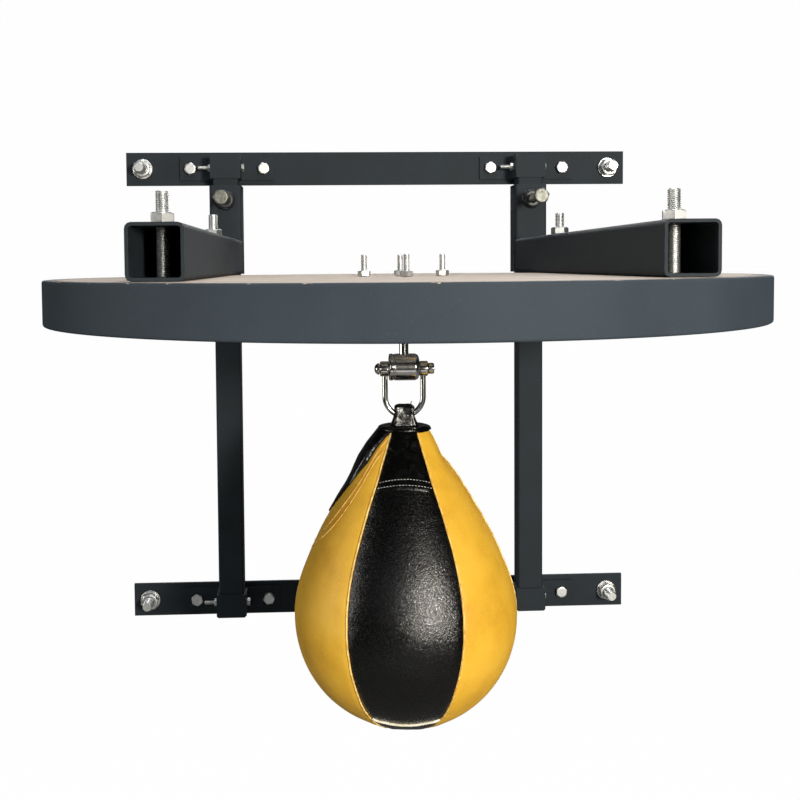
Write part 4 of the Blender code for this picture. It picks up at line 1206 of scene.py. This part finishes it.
for k in range(3):
    half = halfWidth(bag["capHeight"]) - 0.8
    path = []
    for away in np.linspace(-half, half, 41):
        turn = bag["turn"] + 120 * k + away
        path.append(onCover(runAt(pipingHeight(turn)), turn, 0.45 * mm)[0])
    pipes.append(fixNormals(newPiece("capPiping", *sweep(path, trim["capPiping"], 12), pipingSkin)))
hand(smooth(join(*pipes), 60), "bag", "gold_leather")


def patch(name, place, rows, columns, thick, *materials, swell=0.0, under=0.12 * mm):
    # a closed leather patch on the cover: place(u, v) gives the run and turn, u and v from 0 to 1
    verts, faces = [], []
    for layer in (0, 1):
        for i in range(rows + 1):
            for j in range(columns + 1):
                run, turn = place(i / rows, j / columns)
                rim = min(i, rows - i, 2) / 2 * min(j, columns - j, 2) / 2
                high = thick + swell * exp(-((i / rows - 0.22) / 0.16) ** 2)
                lift = under if layer else under + high * (0.45 + 0.55 * sqrt(rim))
                verts.append(onCover(run, turn, lift)[0])
    width = columns + 1
    count = (rows + 1) * width
    for i in range(rows):
        for j in range(columns):
            a = i * width + j
            faces.append((a, a + width, a + width + 1, a + 1))
            faces.append((count + a, count + a + 1, count + a + width + 1, count + a + width))
    loop = [j for j in range(columns)] + [i * width + columns for i in range(rows)]
    loop += [rows * width + columns - j for j in range(columns)] + [(rows - i) * width for i in range(rows)]
    for a, b in zip(loop, loop[1:] + loop[:1]):
        faces.append((a, b, count + b, count + a))
    return smooth(fixNormals(newPiece(name, verts, faces, *materials)), 50)


def stitches(name, path, lift, spacing, finish, size, seed=3):
    return beads(name, [[onCover(run, turn, lift) for run, turn in line] for line in path], spacing, size,
                 finish, 0.12, seed)


# the glossy yoke at the top of the front panel, and two rows of stitches above its lower edge
yoke = {"foot": -0.3075, "arch": 3.5 * mm, "thick": 1.1 * mm, "rows": (-0.3027, -0.2983)}


def yokePlace(u, v):
    across = 2 * v - 1
    height = bag["collarFoot"] + 2 * mm
    foot = yoke["foot"] + yoke["arch"] * (1 - across**2)
    height += (foot - height) * u
    half = halfWidth(height) - 0.9
    return runAt(height), bag["turn"] + half * across


yokePiece = patch("frontYoke", yokePlace, 34, 30, yoke["thick"], patentHide)
hand(yokePiece, "bag", "black_leather")
yokeRows = []
for foot in yoke["rows"]:
    line = []
    for k in range(25):
        across = (2 * k / 24 - 1) * 0.93
        height = foot + yoke["arch"] * (1 - across**2) - 1.5 * mm
        line.append((runAt(height), bag["turn"] + (halfWidth(height) - 1.5) * across))
    yokeRows.append(line)
hand(stitches("yokeStitches", yokeRows, yoke["thick"] + 0.15 * mm, 2.6 * mm, sheenedBlackThread,
              (1.0 * mm, 0.33 * mm, 0.30 * mm)), "bag", "black_leather")

# the lace flap wraps the upper left and back of the bag
flap = {
    "thick": 1.5 * mm, "swell": 3.2 * mm, "middle": -118.0,
    # height and half width in degrees: the flap's edge, then its two rows of stitches
    "edge": ((-0.2585, 89), (-0.2643, 72), (-0.2736, 63), (-0.2860, 58), (-0.2982, 48), (-0.3066, 44),
             (-0.3144, 39), (-0.3210, 34), (-0.3290, 26), (-0.3360, 14), (-0.3385, 0)),
    "rows": (((-0.2648, 79), (-0.2735, 66), (-0.2887, 63), (-0.3044, 59), (-0.3224, 52), (-0.3390, 44),
              (-0.3498, 36), (-0.3610, 20), (-0.3660, 0)),
             ((-0.2727, 80), (-0.2820, 70), (-0.2930, 67), (-0.3068, 64), (-0.3252, 58), (-0.3409, 51),
              (-0.3524, 41), (-0.3660, 22), (-0.3712, 0))),
}


def flapPlace(u, v):
    heightsDown = [h for h, _ in flap["edge"]]
    halves = [w for _, w in flap["edge"]]
    across = 2 * v - 1
    start, end = heightsDown[0], heightsDown[-1]
    height = start + (end - start) * (1 - (1 - u) ** 1.3)
    half = float(np.interp(-height, [-h for h in heightsDown], halves))
    half += 1.6 * noise.noise(Vector((height / (9 * mm), across * 0.5, 2.0))) * min(1, (1 - u) * 6)
    return runAt(height), flap["middle"] + max(half, 1.5) * across


flapPiece = patch("laceFlap", flapPlace, 44, 60, flap["thick"], patentHide, swell=flap["swell"])
hand(flapPiece, "bag", "black_leather")


def smoothLine(line, count=60):
    places = np.linspace(0, 1, len(line))
    even = np.linspace(0, 1, count)
    firsts, seconds = [p[0] for p in line], [p[1] for p in line]
    a, b = np.interp(even, places, firsts), np.interp(even, places, seconds)
    for _ in range(12):
        a[1:-1] = (a[:-2] + a[1:-1] + a[2:]) / 3
        b[1:-1] = (b[:-2] + b[1:-1] + b[2:]) / 3
    return list(zip(a, b))


flapLines = []
for row in flap["rows"]:
    rightSide = [(runAt(height), flap["middle"] + half) for height, half in row]
    leftSide = [(runAt(height), flap["middle"] - half) for height, half in reversed(row[:-1])]
    flapLines.append(smoothLine(rightSide + leftSide, 120))
hand(stitches("flapStitches", flapLines, 0.12 * mm, 1.9 * mm, orangeThread,
              (1.05 * mm, 0.64 * mm, 0.44 * mm), 9), "bag", "gold_leather")

# collar round the neck, rolled over the top edge
collarOutline = []
for run in np.linspace(runAt(bag["collarFoot"]), runAt(bag["collarFoot"]) - 12 * mm, 16):
    spot, normal, radius = baseSpot(run, 0)
    bulge = trim["collar"] * (1.0 if run < runAt(bag["collarFoot"]) - 1 * mm else 0.6)
    collarOutline.append((radius + bulge * abs(normal.y), spot.z + min(bulge * normal.z, 0.15 * mm)))
inner = [(r - trim["collar"] * 1.6, z) for r, z in reversed(collarOutline)]
collarOutline = collarOutline + inner + collarOutline[:1]
ring = lathe(fillet(collarOutline, 0.3 * mm, 2), (centreX, centreY, 0), segments=96)
collar = newPiece("neckCollar", *ring, patentHide)
for vert in collar.data.vertices:
    turn = atan2(vert.co.y - centreY, vert.co.x - centreX)
    place = Vector((cos(turn) * 2.2, sin(turn) * 2.2, vert.co.z / (5 * mm)))
    vert.co.z += 0.35 * mm * noise.noise(place) - 0.2 * mm
hand(smooth(fixNormals(collar), 60), "bag", "black_leather")
print("bag trim made")


loop = {"foot": 12.3 * mm, "top": 8.7 * mm, "depth": 7.6 * mm, "sides": 36}


def makeLoop():
    low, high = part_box("bag_loop")
    tall = high.z - low.z
    rows = 30
    verts = []
    for i in range(rows + 1):
        share = 1 - (1 - i / rows) ** 1.4
        height = low.z + tall * share
        shrink = sqrt(max(1 - max((share - 0.80) / 0.20, 0) ** 2.6, 0))
        taper = min(share / 0.5, 1) ** 0.7
        wide = (loop["foot"] + (loop["top"] - loop["foot"]) * taper) * (0.30 + 0.70 * shrink)
        deep = (loop["depth"] - 1.4 * mm * share) * (0.12 + 0.88 * shrink)
        for k in range(loop["sides"]):
            angle = 2 * pi * k / loop["sides"]
            c, s = cos(angle), sin(angle)
            x = wide * abs(c) ** 0.42 * (1 if c > 0 else -1)
            y = deep * abs(s) ** 0.55 * (1 if s > 0 else -1)
            # rolled edges stand proud at both sides of the strap, and its middle is pinched
            edge = exp(-(((abs(x) / wide) - 0.80) / 0.13) ** 2)
            face = (1 if s > 0 else -1) * min(1, abs(s) * 2.5)
            y += face * (0.7 * mm * edge - 0.9 * mm * (1 - (x / wide) ** 2) * (0.4 + 0.6 * share))
            wrinkle = 0.4 * mm * noise.noise(Vector((x / (4 * mm), y / (3 * mm), height / (5 * mm))))
            verts.append(Vector((centreX + x + wrinkle, centreY + y + wrinkle, height)))
    strap = newPiece("hangingLoop", verts, tubeFaces(rows + 1, loop["sides"]), patentHide)
    piece = fixNormals(strap)
    cutAway(piece, newPiece("tool", *sweep(bendPath(40), swivel["wire"] + 0.5 * mm, 18)))
    return smooth(piece, 50)


hand(makeLoop(), "bag", "black_leather", "bag_loop")
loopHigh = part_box("bag_loop")[1]
tail = []
for k in range(9):
    t = k / 8
    tail.append(Vector((centreX + (5.2 + 1.2 * t**2) * mm, centreY - 2.0 * mm,
                        loopHigh.z - 3.0 * mm + 5.4 * mm * t)))
tailPiece = fixNormals(newPiece("threadTail", *sweep(tail, 0.4 * mm, 6), patentHide))
hand(smooth(tailPiece, 60), "bag", "black_leather")


def makeBladder():
    inset = 5.6 * mm
    outline = [(0, coverHigh.z - inset)]
    for run in np.linspace(bag["neckRadius"], coverRun, 60):
        spot, normal, radius = baseSpot(run, 0)
        r = radius + normal.y * inset
        if r > 4.2 * mm:
            outline.append((r, spot.z - normal.z * inset))
    tip = coverLow.z - 1.1 * mm
    outline += [(3.3 * mm, coverLow.z + inset - 0.6 * mm), (3.3 * mm, tip + 0.5 * mm), (2.8 * mm, tip),
                (1.0 * mm, tip), (0.7 * mm, tip + 0.4 * mm), (0.7 * mm, tip + 4.0 * mm), (0, tip + 4.0 * mm)]
    piece = newPiece("bladderRubber", *lathe(outline, (centreX, centreY, 0), segments=72), rubberSkin)
    return smooth(fixNormals(piece), 40)


hand(makeBladder(), "bag", "rubber", "bladder")
print("loop and bladder made")


stage = {
    "top": 4.5, "white": 1.04,
    "floor": -1.55, "back": 3.2, "bend": 1.2, "width": 9.0, "front": -5.0,
    "colour": "#747472", "glow": 0.95,
}


def makeStage():
    profile = [(stage["front"], stage["floor"])]
    for k in range(17):
        angle = -pi / 2 + k / 16 * pi / 2
        profile.append((stage["back"] - stage["bend"] + stage["bend"] * cos(angle),
                        stage["floor"] + stage["bend"] + stage["bend"] * sin(angle)))
    profile.append((stage["back"], stage["top"]))
    half = stage["width"]
    verts = [(x, y, z) for y, z in profile for x in (-half, half)]
    faces = [(2 * i, 2 * i + 1, 2 * i + 3, 2 * i + 2) for i in range(len(profile) - 1)]
    material, tree, shader, place = startMaterial("palePaperSweep", Roughness=0.9)
    fibre = put(tree, "noise", {"Vector": place, "Scale": 3.0, "Detail": 2.0})
    base = put(tree, "ramp", {"Fac": fibre}, [(0.3, "#6c6c6a"), (0.7, stage["colour"])])
    wire(tree, shader, Base_Color=base)
    # the paper shows near white by its own glow, but stays a soft grey in reflections
    seen = put(tree, "ShaderNodeLightPath").outputs["Is Camera Ray"]
    share = put(tree, "MULTIPLY", {0: seen, 1: stage["glow"]})
    glow = put(tree, "ShaderNodeEmission", {"Color": hexColour("#ffffff"), "Strength": stage["white"]})
    both = put(tree, "ShaderNodeMixShader", {0: share, 1: shader, 2: glow})
    tree.links.new(both.outputs[0], tree.nodes["Material Output"].inputs["Surface"])
    sweepPaper = smooth(newPiece("paperSweep", verts, faces, material), 60)


lights = {
    "key": {"place": (0.86, -2.50, 0.06), "size": (0.36, 0.36), "power": 62, "colour": "#fff8ec"},
    "fill": {"place": (-2.8, -0.8, 0.1), "size": (0.9, 1.6), "power": 26, "colour": "#fbf6ee"},
    "top": {"place": (0.1, -0.5, 1.9), "size": (1.6, 1.2), "power": 26, "colour": "#ffffff"},
    "rear": {"place": (0.5, 1.6, 0.9), "size": (2.4, 0.8), "power": 26, "colour": "#ffffff"},
    "frontStrip": {"place": (0.1, -2.9, 0.50), "size": (2.4, 0.50), "power": 5.5, "colour": "#ffffff"},
    "lowStrip": {"place": (0.0, -2.3, -1.35), "size": (2.6, 0.20), "power": 2.0, "colour": "#ffffff"},
}


aimAt = Vector((0, -0.35, -0.25))      # between the board and the bag


def makeLights():
    for name, values in lights.items():
        lamp = bpy.data.lights.new(name, "AREA")
        lamp.shape = "RECTANGLE"
        lamp.size, lamp.size_y = values["size"]
        lamp.energy = values["power"]
        lamp.color = hexColour(values["colour"])[:3]
        holder = bpy.data.objects.new(name, lamp)
        holder.location = values["place"]
        aim = aimAt - Vector(values["place"])
        holder.rotation_euler = aim.to_track_quat("-Z", "Y").to_euler()
        bpy.context.scene.collection.objects.link(holder)
    world = bpy.data.worlds.new("softRoom")
    world.use_nodes = True
    tree = world.node_tree
    sky = put(tree, "ShaderNodeTexCoord")
    split = put(tree, "split", {"Vector": sky.outputs["Generated"]})
    lift = put(tree, "range", {"Value": split.outputs["Z"], "From Min": -0.4, "From Max": 0.9})
    tint = put(tree, "ramp", {"Fac": lift}, [(0.0, "#15181a"), (0.5, "#2c3033"), (1.0, "#70757a")])
    seen = put(tree, "ShaderNodeLightPath").outputs["Is Camera Ray"]
    both = put(tree, "mix", {0: seen, 6: tint, 7: hexColour("#ffffff")}, data_type="RGBA")
    tree.links.new(both.outputs[2], tree.nodes["Background"].inputs["Color"])
    bpy.context.scene.world = world
    bpy.context.scene.view_settings.view_transform = "Standard"


makeStage()
makeLights()
print("stage lit")
